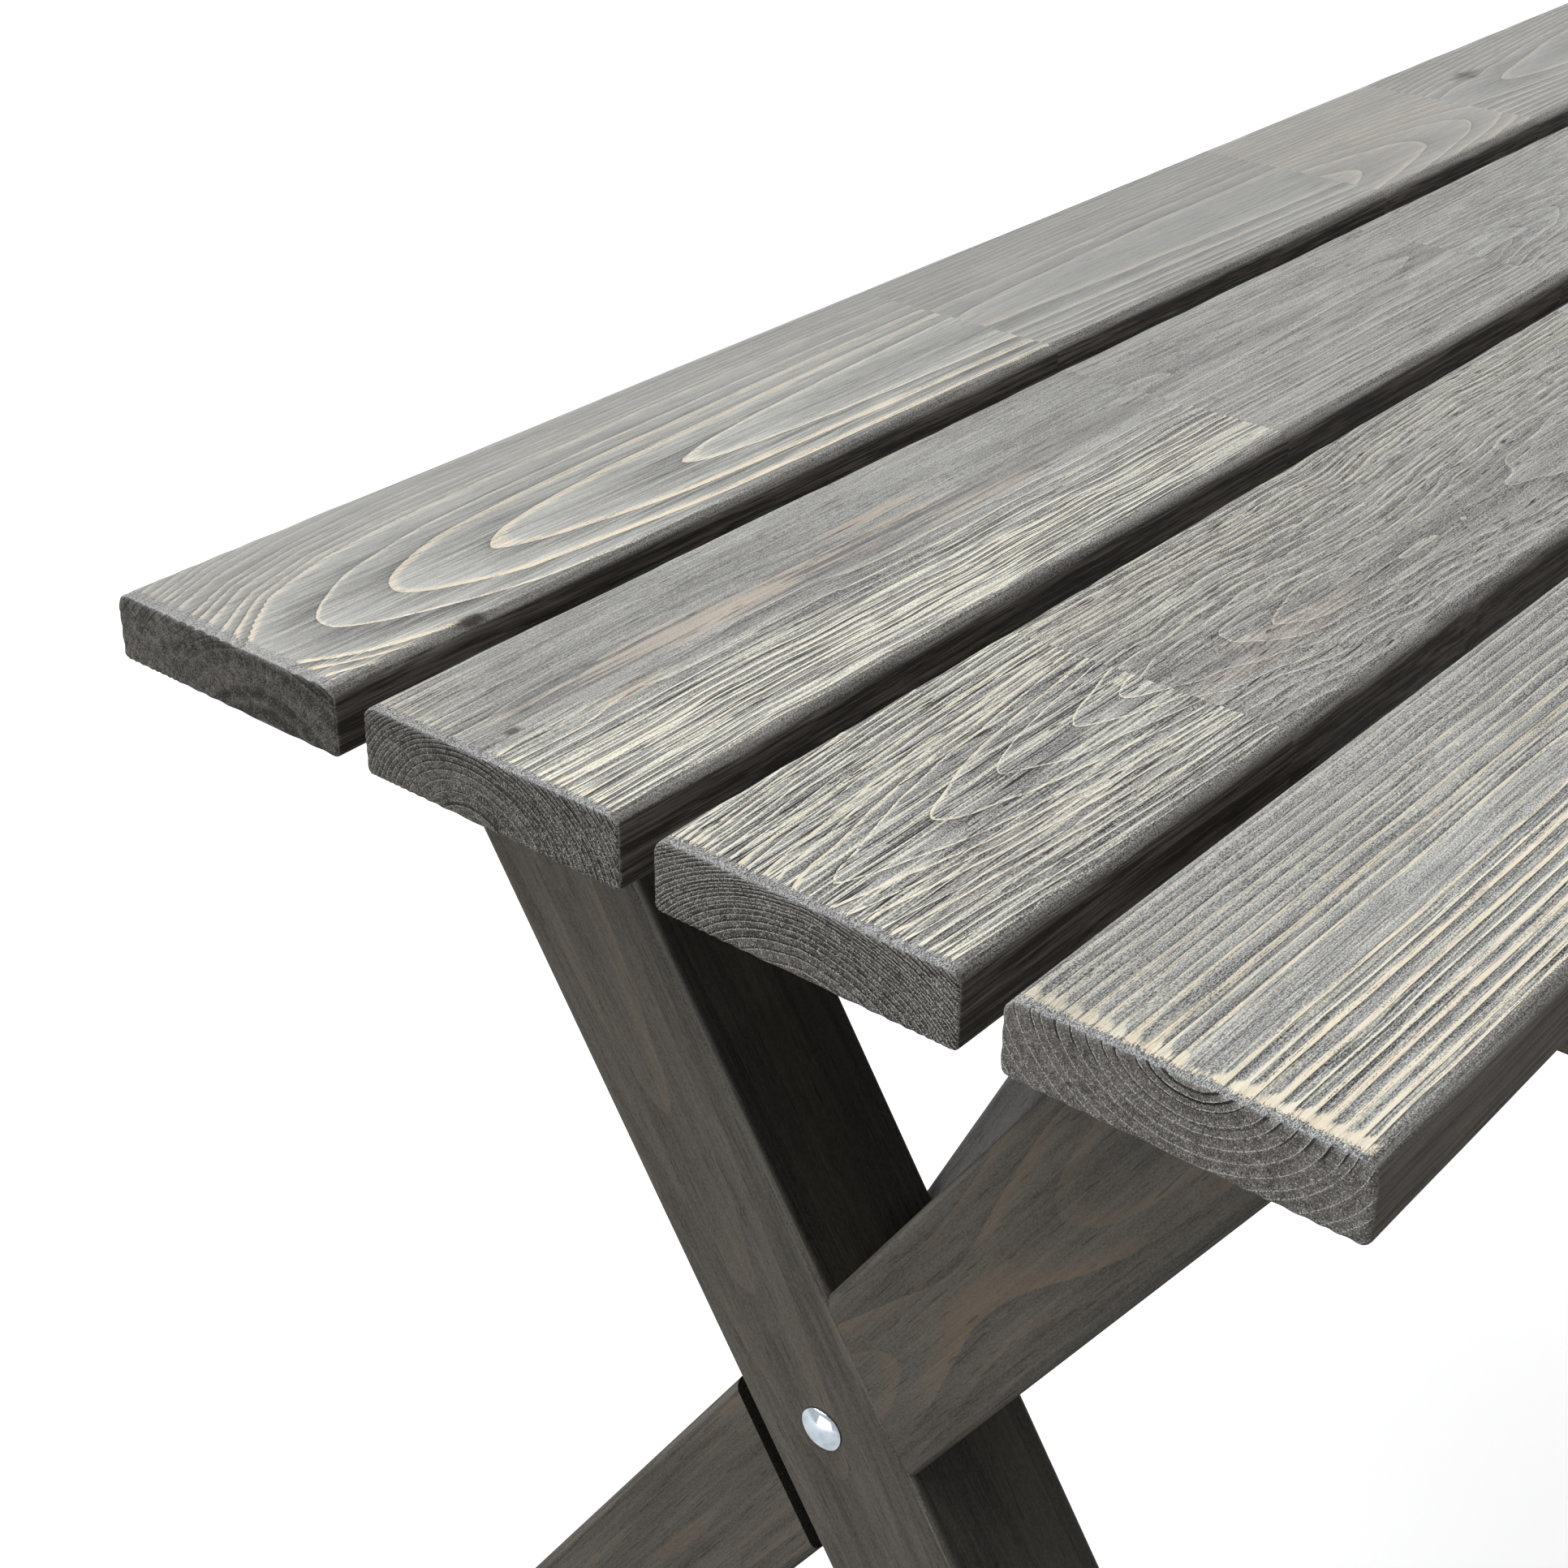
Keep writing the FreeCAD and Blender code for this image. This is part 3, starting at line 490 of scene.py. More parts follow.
def make_board(name):
    """A board with brushed relief that stands for the solid of the same name."""
    lengths = WOOD[name]
    points, normals, skin, ends = board_grids(lengths)
    faces = np.concatenate([quads(skin), quads(ends[0]), quads(ends[1], flip=True)])
    along, across, down = points.T
    dark, brown, push = flaw_masks(name, along, across)
    wood_of_face = np.searchsorted([wood["end"] for wood in lengths[:-1]], along[faces].mean(axis=1))
    kept = {title: np.zeros(faces.shape) for title in
            ("ring_count", "ring_width", "ray_angle", "tone", "warm", "line_strength")}
    grain = np.zeros(faces.shape + (3,))
    point_count, point_width = np.zeros((2, len(points)))
    for number, wood in enumerate(lengths):
        count, width, angle = rings_on_surface(wood, points, normals, push)
        sideways, deeper = drift(wood, along, across)
        mine = wood_of_face == number
        inside = faces[mine]
        kept["ring_count"][mine], kept["ring_width"][mine] = count[inside], width[inside]
        kept["ray_angle"][mine] = angle[inside]
        kept["tone"][mine], kept["warm"][mine] = wood["tone"], wood["warm"]
        share = 0.5 - across[inside] / (BOARD_WIDTH / MM)
        clearness = np.interp(share, wood["fade"], wood["strength"])
        clearness = clearness * (1 - FADE_LOSS * rise(along[inside], FADE_FROM, FADE_TO))
        gain = wood["end_gain"] * np.exp(-along[inside] / END_GAIN_REACH)
        kept["line_strength"][mine] = clearness + gain
        # every length reads another part of the noise, so that no two look alike
        apart = 200.0 * (number + 1) + 1000.0 * BOARDS.index(name)
        fibres = np.column_stack([along, across + sideways + apart, down - deeper]) * MM
        grain[mine] = fibres[inside]
        point_count[inside], point_width[inside] = count[inside], width[inside]
    depth = sink(name, along, across, down, point_count, point_width)
    sunk = points - normals * depth[:, None]
    low, high = board_box[name]
    middle = (low.y + high.y) / 2
    places = np.column_stack([NEAR_END + sunk[:, 0] * MM, middle + sunk[:, 1] * MM,
                              TOP_LEVEL - sunk[:, 2] * MM])
    mesh = bpy.data.meshes.new(f"brushed_{name}")
    mesh.from_pydata(places.tolist(), [], faces.tolist())
    kept["dark_flaw"], kept["brown_flaw"] = dark[faces], brown[faces]
    for title, values in kept.items():
        write_values(mesh, title, values)
    mesh.attributes.new("grain", "FLOAT_VECTOR", "CORNER").data.foreach_set(
        "vector", grain.astype(np.float32).ravel())
    unwrap(mesh, points, faces, len(quads(skin)))
    mesh.shade_smooth()
    board = bpy.data.objects.new(f"brushed_{name}", mesh)
    bpy.context.scene.collection.objects.link(board)
    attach(board, "root")
    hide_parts(name)
    print(board.name, len(mesh.vertices), "points,", len(mesh.polygons), "faces, deepest",
          round(float(depth.max()), 2), "mm")
    return board


print("the lines fade from", FADE_FROM, "to", FADE_TO, "mm along the boards")

# %% [markdown]
# A flat map of each board lets other programs keep the pattern as a picture. The skin is slit along
# the far upper edge, rolled out flat and cut in two at half length, and the two ends lie beside it.

# %% Flat map of a board
MAP_GAP = 6.0


def unwrap(mesh, points, faces, skin_faces):
    """Lay the skin and the ends out side by side on a unit square."""
    whole, wide = BOARD_LENGTH / MM, BOARD_WIDTH / MM
    loop_size = 2 * (ACROSS_STEPS + SIDE_STEPS)
    section = board_section(0)[0]
    steps = np.linalg.norm(np.diff(np.vstack([section, section[:1]]), axis=0), axis=1)
    unrolled = np.concatenate([[0], np.cumsum(steps)])
    girth, gap = unrolled[-1], MAP_GAP
    u = points[faces, 0]
    v = np.zeros_like(u)
    first = faces[:skin_faces, 0] % loop_size
    v[:skin_faces, 0], v[:skin_faces, 3] = unrolled[first], unrolled[first]
    v[:skin_faces, 1], v[:skin_faces, 2] = unrolled[first + 1], unrolled[first + 1]
    back_half = u[:skin_faces].mean(axis=1) > whole / 2
    u[:skin_faces][back_half] -= whole / 2
    v[:skin_faces][back_half] += girth + gap
    ends_u, ends_v = points[faces[skin_faces:], 1] + wide / 2, points[faces[skin_faces:], 2]
    second = np.arange(len(ends_u)) >= len(ends_u) // 2
    u[skin_faces:] = ends_u + np.where(second, wide + gap, 0)[:, None]
    v[skin_faces:] = ends_v + 2 * (girth + gap)
    flat_map = mesh.uv_layers.new(name="OFBake")
    scale = 1 / (whole / 2 + 4 * gap)
    pairs = np.stack([u + gap, v + gap], -1) * scale
    flat_map.uv.foreach_set("vector", pairs.astype(np.float32).ravel())


loop = board_section(0)[0]
around_board = np.linalg.norm(loop - np.roll(loop, 1, axis=0), axis=1).sum()
print(f"rolled out, a board's skin is {around_board:.1f} mm wide")

# %% [markdown]
# The four boards come from the same function. Only their lengths of wood, their flaws and the seeds of
# their noise differ.

# %% Make the four boards
boards = {name: make_board(name) for name in BOARDS}

# %% [markdown]
# ## Helpers for materials
# A material is a graph of nodes. Small helpers keep the graphs short to read: they add a node and wire
# its inputs, do sums, mix colours, or start a node group with named inputs and outputs. Colours are
# written as they look on screen, from 0 to 255, and turned into the linear values that light needs.

# %% Node helpers
def stain(red, green, blue):
    """A colour as it looks on screen, made linear."""
    shares = [c / 255 for c in (red, green, blue)]
    return (*[c / 12.92 if c <= 0.0393 else ((c + 0.055) / 1.055) ** 2.4 for c in shares], 1.0)


def fill(tree, socket, value):
    """Wire a socket to another, or give it a plain value. None leaves it as it is."""
    if isinstance(value, bpy.types.NodeSocket):
        tree.links.new(value, socket)
    elif value is not None:
        socket.default_value = value


def add(tree, kind, *inputs, **settings):
    """Add a node, set its options, and fill its inputs in order with sockets or plain values."""
    node = tree.nodes.new(f"ShaderNode{kind}")
    for name, value in settings.items():
        setattr(node, name, value)
    for socket, value in zip([socket for socket in node.inputs if socket.enabled], inputs):
        fill(tree, socket, value)
    return node


def noise(tree, place, scale=1.0, detail=2.0, roughness=0.5):
    """Random clouds from 0 to 1. Their grain is 1/scale of the unit that place is in."""
    node = tree.nodes.new("ShaderNodeTexNoise")
    for title, value in (("Vector", place), ("Scale", scale), ("Detail", detail), ("Roughness", roughness)):
        fill(tree, node.inputs[title], value)
    return node.outputs["Fac"]


def stretched(tree, vector, factors):
    """Coordinates multiplied axis by axis. A small factor draws a pattern out along that axis."""
    return add(tree, "VectorMath", vector, factors, operation="MULTIPLY").outputs[0]


def calc(tree, operation, *inputs, clamp=False):
    """The result of one Math node."""
    return add(tree, "Math", *inputs, operation=operation, use_clamp=clamp).outputs[0]


def between(tree, value, low, high):
    """0 at low, 1 at high, smooth between and level beyond. It falls instead if low is above high."""
    node = add(tree, "MapRange", value, low, high, 0.0, 1.0, interpolation_type="SMOOTHSTEP")
    return node.outputs["Result"]


def blend(tree, share, first, second, how="MIX"):
    """Two colours mixed by a share from 0 to 1."""
    node = tree.nodes.new("ShaderNodeMix")
    node.data_type = "RGBA"
    node.blend_type = how
    for socket, value in zip((node.inputs[0], node.inputs[6], node.inputs[7]), (share, first, second)):
        fill(tree, socket, value)
    return node.outputs[2]


def stored(tree, name):
    """A value kept on the mesh."""
    return add(tree, "Attribute", attribute_name=name).outputs["Fac"]


def new_group(name, inputs, outputs):
    """An empty node group. inputs are name: default value, and outputs are names."""
    group = bpy.data.node_groups.new(name, "ShaderNodeTree")
    for title, value in inputs.items():
        kind = "NodeSocketVector" if isinstance(value, tuple) else "NodeSocketFloat"
        group.interface.new_socket(title, in_out="INPUT", socket_type=kind).default_value = value
    for title in outputs:
        group.interface.new_socket(title, in_out="OUTPUT", socket_type="NodeSocketFloat")
    return group, group.nodes.new("NodeGroupInput").outputs, group.nodes.new("NodeGroupOutput").inputs


def use(tree, group, **values):
    """Place a group in a material, with its own values, and return its outputs."""
    node = tree.nodes.new("ShaderNodeGroup")
    node.node_tree = group
    for title, value in values.items():
        fill(tree, node.inputs[title.replace("_", " ")], value)
    return node.outputs


def bumped(tree, height, strength=1.0):
    """A normal tilted by a height in millimetres."""
    node = tree.nodes.new("ShaderNodeBump")
    for title, value in (("Strength", strength), ("Distance", MM), ("Height", height)):
        fill(tree, node.inputs[title], value)
    return node.outputs["Normal"]


print("half bright on screen is", round(stain(128, 128, 128)[0], 3), "of full light")

# %% [markdown]
# ## Ring lines
# The stain sinks into the soft wood and is rubbed off the hard late wood, so each ring shows as a
# pale line. Its outer side is sharp and dark, where the next year's soft wood begins, and its inner
# side frays into the grey. The group reads the ring count from the mesh: its fraction says how far
# through a year each point is, and the ring's width turns that into millimetres, so that wide rings
# do not get broad lines.

# %% Ring line group
def random_by_number(tree, number):
    """A random value from 0 to 1 for each whole number."""
    node = tree.nodes.new("ShaderNodeTexWhiteNoise")
    node.noise_dimensions = "1D"
    fill(tree, node.inputs["W"], number)
    return node.outputs["Value"]


def number_again(tree, number):
    """Another random value for the same whole number."""
    return random_by_number(tree, calc(tree, "ADD", number, 0.37))


def make_ring_lines():
    """Pale lines, the grooves and trenches outside them, the relief, and a random value for each ring."""
    group, inputs, outputs = new_group(
        "ring lines", {"Late Wood": 0.3, "Widest": 1.0, "Widen": 0.0},
        ["Pale", "Groove", "Trench", "Hairline", "Height", "Each Ring", "Soft"])
    count, width = stored(group, "ring_count"), stored(group, "ring_width")
    grain = add(group, "Attribute", attribute_name="grain").outputs["Vector"]
    waver = calc(group, "SUBTRACT", noise(group, stretched(group, grain, (22, 900, 900))), 0.5)
    count = calc(group, "ADD", count, calc(group, "DIVIDE", calc(group, "MULTIPLY", waver, 0.45), width))
    year = calc(group, "FRACT", count)
    before = calc(group, "MULTIPLY", calc(group, "SUBTRACT", 1.0, year), width)
    after = calc(group, "MULTIPLY", year, width)
    number = calc(group, "FLOOR", count)
    each = random_by_number(group, number)
    line = calc(group, "MINIMUM", calc(group, "MULTIPLY", width, inputs["Late Wood"]), inputs["Widest"])
    line = calc(group, "MULTIPLY", line, calc(group, "MULTIPLY_ADD", each, 0.9, 0.55))
    line = calc(group, "ADD", line, inputs["Widen"])
    fray = calc(group, "SUBTRACT", noise(group, stretched(group, grain, (70, 2100, 2100)), detail=1.0), 0.5)
    frayed = calc(group, "ADD", before, calc(group, "MULTIPLY", calc(group, "MULTIPLY", fray, 1.5), line))
    sure, gone = calc(group, "MULTIPLY", line, 0.55), calc(group, "MULTIPLY", line, 1.35)
    pale = add(group, "MapRange", frayed, sure, gone, 1.0, 0.0, interpolation_type="SMOOTHSTEP")
    pale = pale.outputs["Result"]
    groove = calc(group, "POWER", math.e, calc(group, "MULTIPLY", after, -2.2))
    trench_width = calc(group, "MULTIPLY_ADD", number_again(group, number), 0.9, 0.35)
    trench_width = calc(group, "MINIMUM", trench_width, calc(group, "MULTIPLY", width, 0.3))
    trench = between(group, after, calc(group, "MULTIPLY", trench_width, 1.3),
                     calc(group, "MULTIPLY", trench_width, 0.7))
    hairline = between(group, before, 0.42, 0.2)
    height = calc(group, "SUBTRACT", calc(group, "MULTIPLY", calc(group, "POWER", year, 1.6), 0.26),
                  calc(group, "MULTIPLY", groove, 0.1))
    soft = calc(group, "MULTIPLY", calc(group, "SUBTRACT", 1.0, year), between(group, width, 0.8, 2.5))
    for title, value in (("Pale", pale), ("Groove", groove), ("Trench", trench), ("Hairline", hairline),
                         ("Height", height), ("Each Ring", each), ("Soft", soft)):
        group.links.new(value, outputs[title])
    return group


ring_lines = make_ring_lines()
print("group", ring_lines.name, "has", len(ring_lines.nodes), "nodes")

# %% [markdown]
# ## Stained fibres
# Between the lines the wood is never one flat grey. It has short fibres that run along the grain,
# a fine glitter of pigment and bare wood, soft clouds where the stain was thicker, and a few dark
# resin ducts. All are noise. What makes them fibres is only the way in which their coordinates are
# stretched, so the group takes its coordinates from outside, with the grain along X.

# %% Stained fibre group
def make_stained_fibres():
    """Masks from 0 to 1 for speckles, fibres, streaks, hairlines, clouds and ducts along the grain."""
    group, inputs, outputs = new_group("stained fibres", {"Place": (0.0, 0.0, 0.0), "Glitter Size": 0.42},
                                       ["Glitter", "Fibre", "Streak", "Pale Streak", "Hair", "Cloud", "Duct"])

    def shifted(factors, shift):
        """Stretched coordinates, moved so that no two patterns fall together."""
        place = stretched(group, inputs["Place"], factors)
        return add(group, "VectorMath", place, (0.0, shift, shift)).outputs[0]

    glitter_scale = calc(group, "DIVIDE", 1.0, calc(group, "MULTIPLY", inputs["Glitter Size"], MM))
    glitter = noise(group, stretched(group, inputs["Place"], (0.5, 1, 1)), glitter_scale, 1.0, 0.7)
    fibre = noise(group, stretched(group, inputs["Place"], (34, 1500, 1500)), roughness=0.6)
    streak = noise(group, shifted((10, 430, 430), 3.7), roughness=0.6)
    pale = noise(group, shifted((13, 880, 880), 11.3), detail=1.0)
    cloud = noise(group, shifted((8, 50, 50), 5.1), detail=3.0)
    hair = noise(group, shifted((18, 1500, 1500), 14.6), detail=1.0)
    duct = noise(group, shifted((75, 1050, 1050), 8.9), detail=0.0)
    for title, value, low, high in (("Glitter", glitter, 0.36, 0.64), ("Fibre", fibre, 0.32, 0.68),
                                    ("Streak", streak, 0.34, 0.66), ("Pale Streak", pale, 0.54, 0.63),
                                    ("Hair", hair, 0.56, 0.66), ("Cloud", cloud, 0.3, 0.7),
                                    ("Duct", duct, 0.72, 0.78)):
        group.links.new(between(group, value, low, high), outputs[title])
    return group


stained_fibres = make_stained_fibres()
print("group", stained_fibres.name, "has", len(stained_fibres.nodes), "nodes")

# %% [markdown]
# ## The brushed boards' finish
# The top faces show pale lines on grey. The sawn ends drink more stain: they are darker, with thin grooves
# between the years and a glitter of bare fibre tips. The rounded edges are stained over and have no pale
# lines; along the near edge their band is wider, as painted shade. Every mixture lies between two stains, a
# darker and a lighter one.

# %% Colours of the board finish
GREY_LIGHT, GREY_DARK = stain(220, 220, 216), stain(54, 54, 54)
LINE_CREAM, LINE_PEACH = stain(253, 250, 234), stain(246, 229, 202)
WARM_BROWN, STRAND_GREY, HAIR_DARK = stain(202, 188, 173), stain(116, 117, 119), stain(52, 50, 50)
SILVER_DARK, SILVER_LIGHT = stain(92, 92, 93), stain(204, 205, 205)
EDGE_DARK, EDGE_LIGHT = stain(62, 60, 58), stain(162, 159, 154)
SIDE_DARK, SIDE_LIGHT = stain(54, 50, 46), stain(154, 146, 137)
END_DARK, END_MIDDLE = stain(44, 41, 38), stain(156, 152, 147)
END_LIGHT, END_DEEP = stain(228, 226, 220), stain(28, 26, 25)
FLAW_DARK = stain(44, 36, 34)
print("the deepest stain gives back", round(END_DEEP[0], 3), "of the light, the palest line",
      round(LINE_CREAM[0], 3))

# %% [markdown]
# The top is painted from the bottom up, as the real one came about: first the mottled grey of the
# stained soft wood, then brown strands, dark grooves and hairlines, and last the pale late wood, which
# took up no stain or lost it to the brush.

# %% Colour of the top
def sum_of(tree, *parts, clamp=False):
    """Values added up, each with its own weight."""
    total = 0.0
    for value, weight in parts:
        total = calc(tree, "MULTIPLY_ADD", value, weight, total)
    if clamp:
        total.node.use_clamp = True
    return total


def product(tree, first, *others, clamp=False):
    """Values multiplied together."""
    for value in others:
        first = calc(tree, "MULTIPLY", first, value, clamp=clamp)
    return first


def top_face_colour(tree, looks, fibres, rings, flare, open_face):
    """Pale lines and streaks on mottled grey."""
    tone, warm, strength = stored(tree, "tone"), stored(tree, "warm"), stored(tree, "line_strength")
    mottle = sum_of(tree, (fibres["Glitter"], looks["glitter"]), (fibres["Fibre"], 0.24),
                    (fibres["Streak"], looks["streaky"]), (fibres["Cloud"], 0.16),
                    (rings["Soft"], -looks["bands"]), (tone, 0.3))
    balance = looks["lift"] + looks["bands"] * 0.3 + (0.64 - looks["glitter"] - looks["streaky"]) / 2
    mottle = calc(tree, "ADD", mottle, balance - 0.5)
    vivid = sum_of(tree, (between(tree, strength, 0.0, 0.9), looks["calm"]), (1.0, 1.0 - looks["calm"]))
    mottle = calc(tree, "ADD", product(tree, mottle, vivid), 0.5, clamp=True)
    grey = blend(tree, mottle, GREY_DARK, GREY_LIGHT)
    grey = blend(tree, product(tree, warm, 0.25), grey, WARM_BROWN)
    strands = sum_of(tree, (fibres["Streak"], 0.8), (fibres["Fibre"], 0.25), (fibres["Glitter"], 0.15))
    strand_colour = blend(tree, between(tree, strands, 0.3, 0.75), STRAND_GREY, WARM_BROWN)
    grey = blend(tree, product(tree, stored(tree, "brown_flaw"), 0.75), grey, strand_colour)
    grooves = product(tree, rings["Groove"], sum_of(tree, (strength, looks["grooves"]), (1.0, 0.12)))
    hairs = product(tree, fibres["Hair"], strength, looks["hairs"], clamp=True)
    grey = blend(tree, calc(tree, "MAXIMUM", grooves, hairs), grey, HAIR_DARK)
    solid = sum_of(tree, (fibres["Fibre"], 0.6), (fibres["Glitter"], 0.35), (flare, 0.6))
    lines = product(tree, rings["Pale"], strength, between(tree, solid, 0.02, 0.5))
    blobs = sum_of(tree, (flare, 0.8), (fibres["Streak"], 0.45), (rings["Soft"], -0.35))
    blobs = product(tree, between(tree, blobs, 0.75, 0.95), between(tree, strength, 0.9, 1.5),
                    looks["flare_fill"])
    lines = calc(tree, "MAXIMUM", lines, blobs)
    speckled = sum_of(tree, (fibres["Glitter"], 0.5), (1.0, 0.5))
    streaks = product(tree, fibres["Pale Streak"], speckled, strength, looks["streaks"])
    grey = blend(tree, product(tree, streaks, open_face, clamp=True), grey, LINE_CREAM)
    peachy = sum_of(tree, (rings["Each Ring"], 0.5), (flare, 0.1), (1.0, looks["peach"]), clamp=True)
    line_colour = blend(tree, peachy, LINE_CREAM, LINE_PEACH)
    return blend(tree, product(tree, lines, open_face, clamp=True), grey, line_colour)


print("ready: the colour of a top")

# %% [markdown]
# A sawn end shows the fibres end on. Each is a tiny open pipe, so the end drinks stain and turns dark,
# yet its cut tips sparkle. Rays run straight out from the pith and cross the rings. The brush has torn
# notches where the rings reach the upper edge. The named depths below are in metres.

# %% Colour of a sawn end
SPECKS_PER_METRE, PATCHES_PER_METRE = 2000.0, 330.0
LOW_EDGE_FROM, LOW_EDGE_TO = 0.022, 0.0275
SILVER_WHOLE, SILVER_DEPTH = 0.001, 0.0048
NOTCH_LEAST, NOTCH_MORE, NOTCH_BLUR = 0.003, 0.006, 0.002


def sawn_end_colour(tree, looks, rings, below, ragged, silver):
    """Dark end grain with rings, rays, bare and filled pores, and notches along its upper edge."""
    coordinates = add(tree, "TexCoord").outputs["Object"]
    speck = noise(tree, coordinates, SPECKS_PER_METRE, 1.0, 0.7)
    patch = noise(tree, coordinates, PATCHES_PER_METRE, 3.0, 0.65)
    count, strength = stored(tree, "ring_count"), stored(tree, "line_strength")
    around, outward = product(tree, stored(tree, "ray_angle"), 75.0), product(tree, count, 0.3)
    ray = noise(tree, add(tree, "CombineXYZ", around, outward, 0.0).outputs[0], roughness=0.6)
    year = calc(tree, "FRACT", count)
    middle_of_year = product(tree, year, calc(tree, "SUBTRACT", 1.0, year), 4.0)
    uneven = sum_of(tree, (rings["Each Ring"], 0.7), (1.0, 0.3))
    uneven = product(tree, uneven, between(tree, strength, 0.2, 0.9))
    mottle = sum_of(tree, (between(tree, speck, 0.36, 0.64), 0.4), (between(tree, ray, 0.3, 0.7), 0.2),
                    (between(tree, patch, 0.3, 0.7), 0.3),
                    (product(tree, middle_of_year, uneven), -looks["end_soft"]))
    mottle = calc(tree, "ADD", mottle, looks["end_lift"] + looks["end_soft"] * 0.3, clamp=True)
    colour = blend(tree, mottle, END_DARK, END_MIDDLE)
    shining = product(tree, rings["Hairline"], between(tree, speck, 0.38, 0.55), looks["end_shine"])
    inner = between(tree, count, looks["end_inner"] + 1.0, looks["end_inner"])
    trench = calc(tree, "MAXIMUM", rings["Trench"], product(tree, rings["Groove"], looks["end_trench"]))
    trench = product(tree, trench, sum_of(tree, (rings["Each Ring"], 0.5), (1.0, 0.5)), looks["end_trench"],
                     inner)
    colour = blend(tree, trench, colour, END_DEEP)
    bare_pores = product(tree, between(tree, speck, 0.6, 0.69), between(tree, patch, 0.25, 0.6),
                         sum_of(tree, (strength, 0.35), (1.0, 0.5)), looks["end_pores"], clamp=True)
    colour = blend(tree, calc(tree, "MAXIMUM", bare_pores, shining), colour, END_LIGHT)
    low_edge = product(tree, between(tree, below, LOW_EDGE_FROM, LOW_EDGE_TO), between(tree, patch, 0.4, 0.6))
    pits = product(tree, between(tree, speck, 0.4, 0.32), sum_of(tree, (low_edge, 1.2), (1.0, 0.6)),
                   looks["end_pores"], clamp=True)
    colour = blend(tree, pits, colour, END_DEEP)
    down = calc(tree, "ADD", below, ragged)
    silver_share = product(tree, between(tree, down, SILVER_DEPTH, SILVER_WHOLE),
                           sum_of(tree, (rings["Soft"], -0.5), (1.0, 0.9)), looks["end_silver"])
    colour = blend(tree, silver_share, colour, silver)
    depth = sum_of(tree, (rings["Each Ring"], NOTCH_MORE), (1.0, NOTCH_LEAST))
    reach = calc(tree, "SUBTRACT", down, depth)
    notches = product(tree, between(tree, reach, NOTCH_BLUR, 0.0), rings["Trench"], looks["end_silver"])
    return blend(tree, notches, colour, END_DEEP)


print("ready: the colour of a sawn end")

# %% [markdown]
# Whether a point lies on the top, a side, an end or a rounded edge comes from its normal and from how
# far it lies from the ends, the long edges and the top.

# %% Where a point lies on its board
SHADED_EDGE_OFFSET = 0.002


def board_place(tree, name):
    """Distances in metres from the board's near or far end, its long edges and its top, and the normal.

    The worn band is wider along the near edge, which faces away from the light, than along the far one; that
    extra width is painted shade. So the edges are counted from a line a little off the middle.
    """
    coordinates = add(tree, "TexCoord")
    low, high = board_box[name]
    x, y, z = add(tree, "SeparateXYZ", coordinates.outputs["Object"]).outputs
    middle_x, middle_y = (low.x + high.x) / 2, (low.y + high.y) / 2 + SHADED_EDGE_OFFSET
    off_middle_x = calc(tree, "ABSOLUTE", calc(tree, "SUBTRACT", x, middle_x))
    off_middle_y = calc(tree, "ABSOLUTE", calc(tree, "SUBTRACT", y, middle_y))
    from_end = calc(tree, "SUBTRACT", BOARD_LENGTH / 2, off_middle_x)
    from_edge = calc(tree, "SUBTRACT", BOARD_WIDTH / 2, off_middle_y)
    below = calc(tree, "SUBTRACT", TOP_LEVEL, z)
    normal = add(tree, "SeparateXYZ", coordinates.outputs["Normal"]).outputs
    return from_end, from_edge, below, normal


print("ready: a point's place on its board")

# %% [markdown]
# Now the looks are laid over each other in one material: the top, the silver band at its ends, the worn
# edges, whose wider band along the near edge is painted shade, the sides, with painted light and shade, the
# sawn ends, and last the flaws and ducts. The same noise that speckles the colour also roughens the surface
# and tilts it a little, so colour and light tell the same story. The borders between the looks are named
# first, in metres.

# %% The whole finish of a board
BAND_FADES_FROM, BAND_FADES_TO, FLARE_REACH = 0.001, 0.003, 0.009
EDGE_WORN_FROM, EDGE_WORN_TO = 0.003, 0.0062


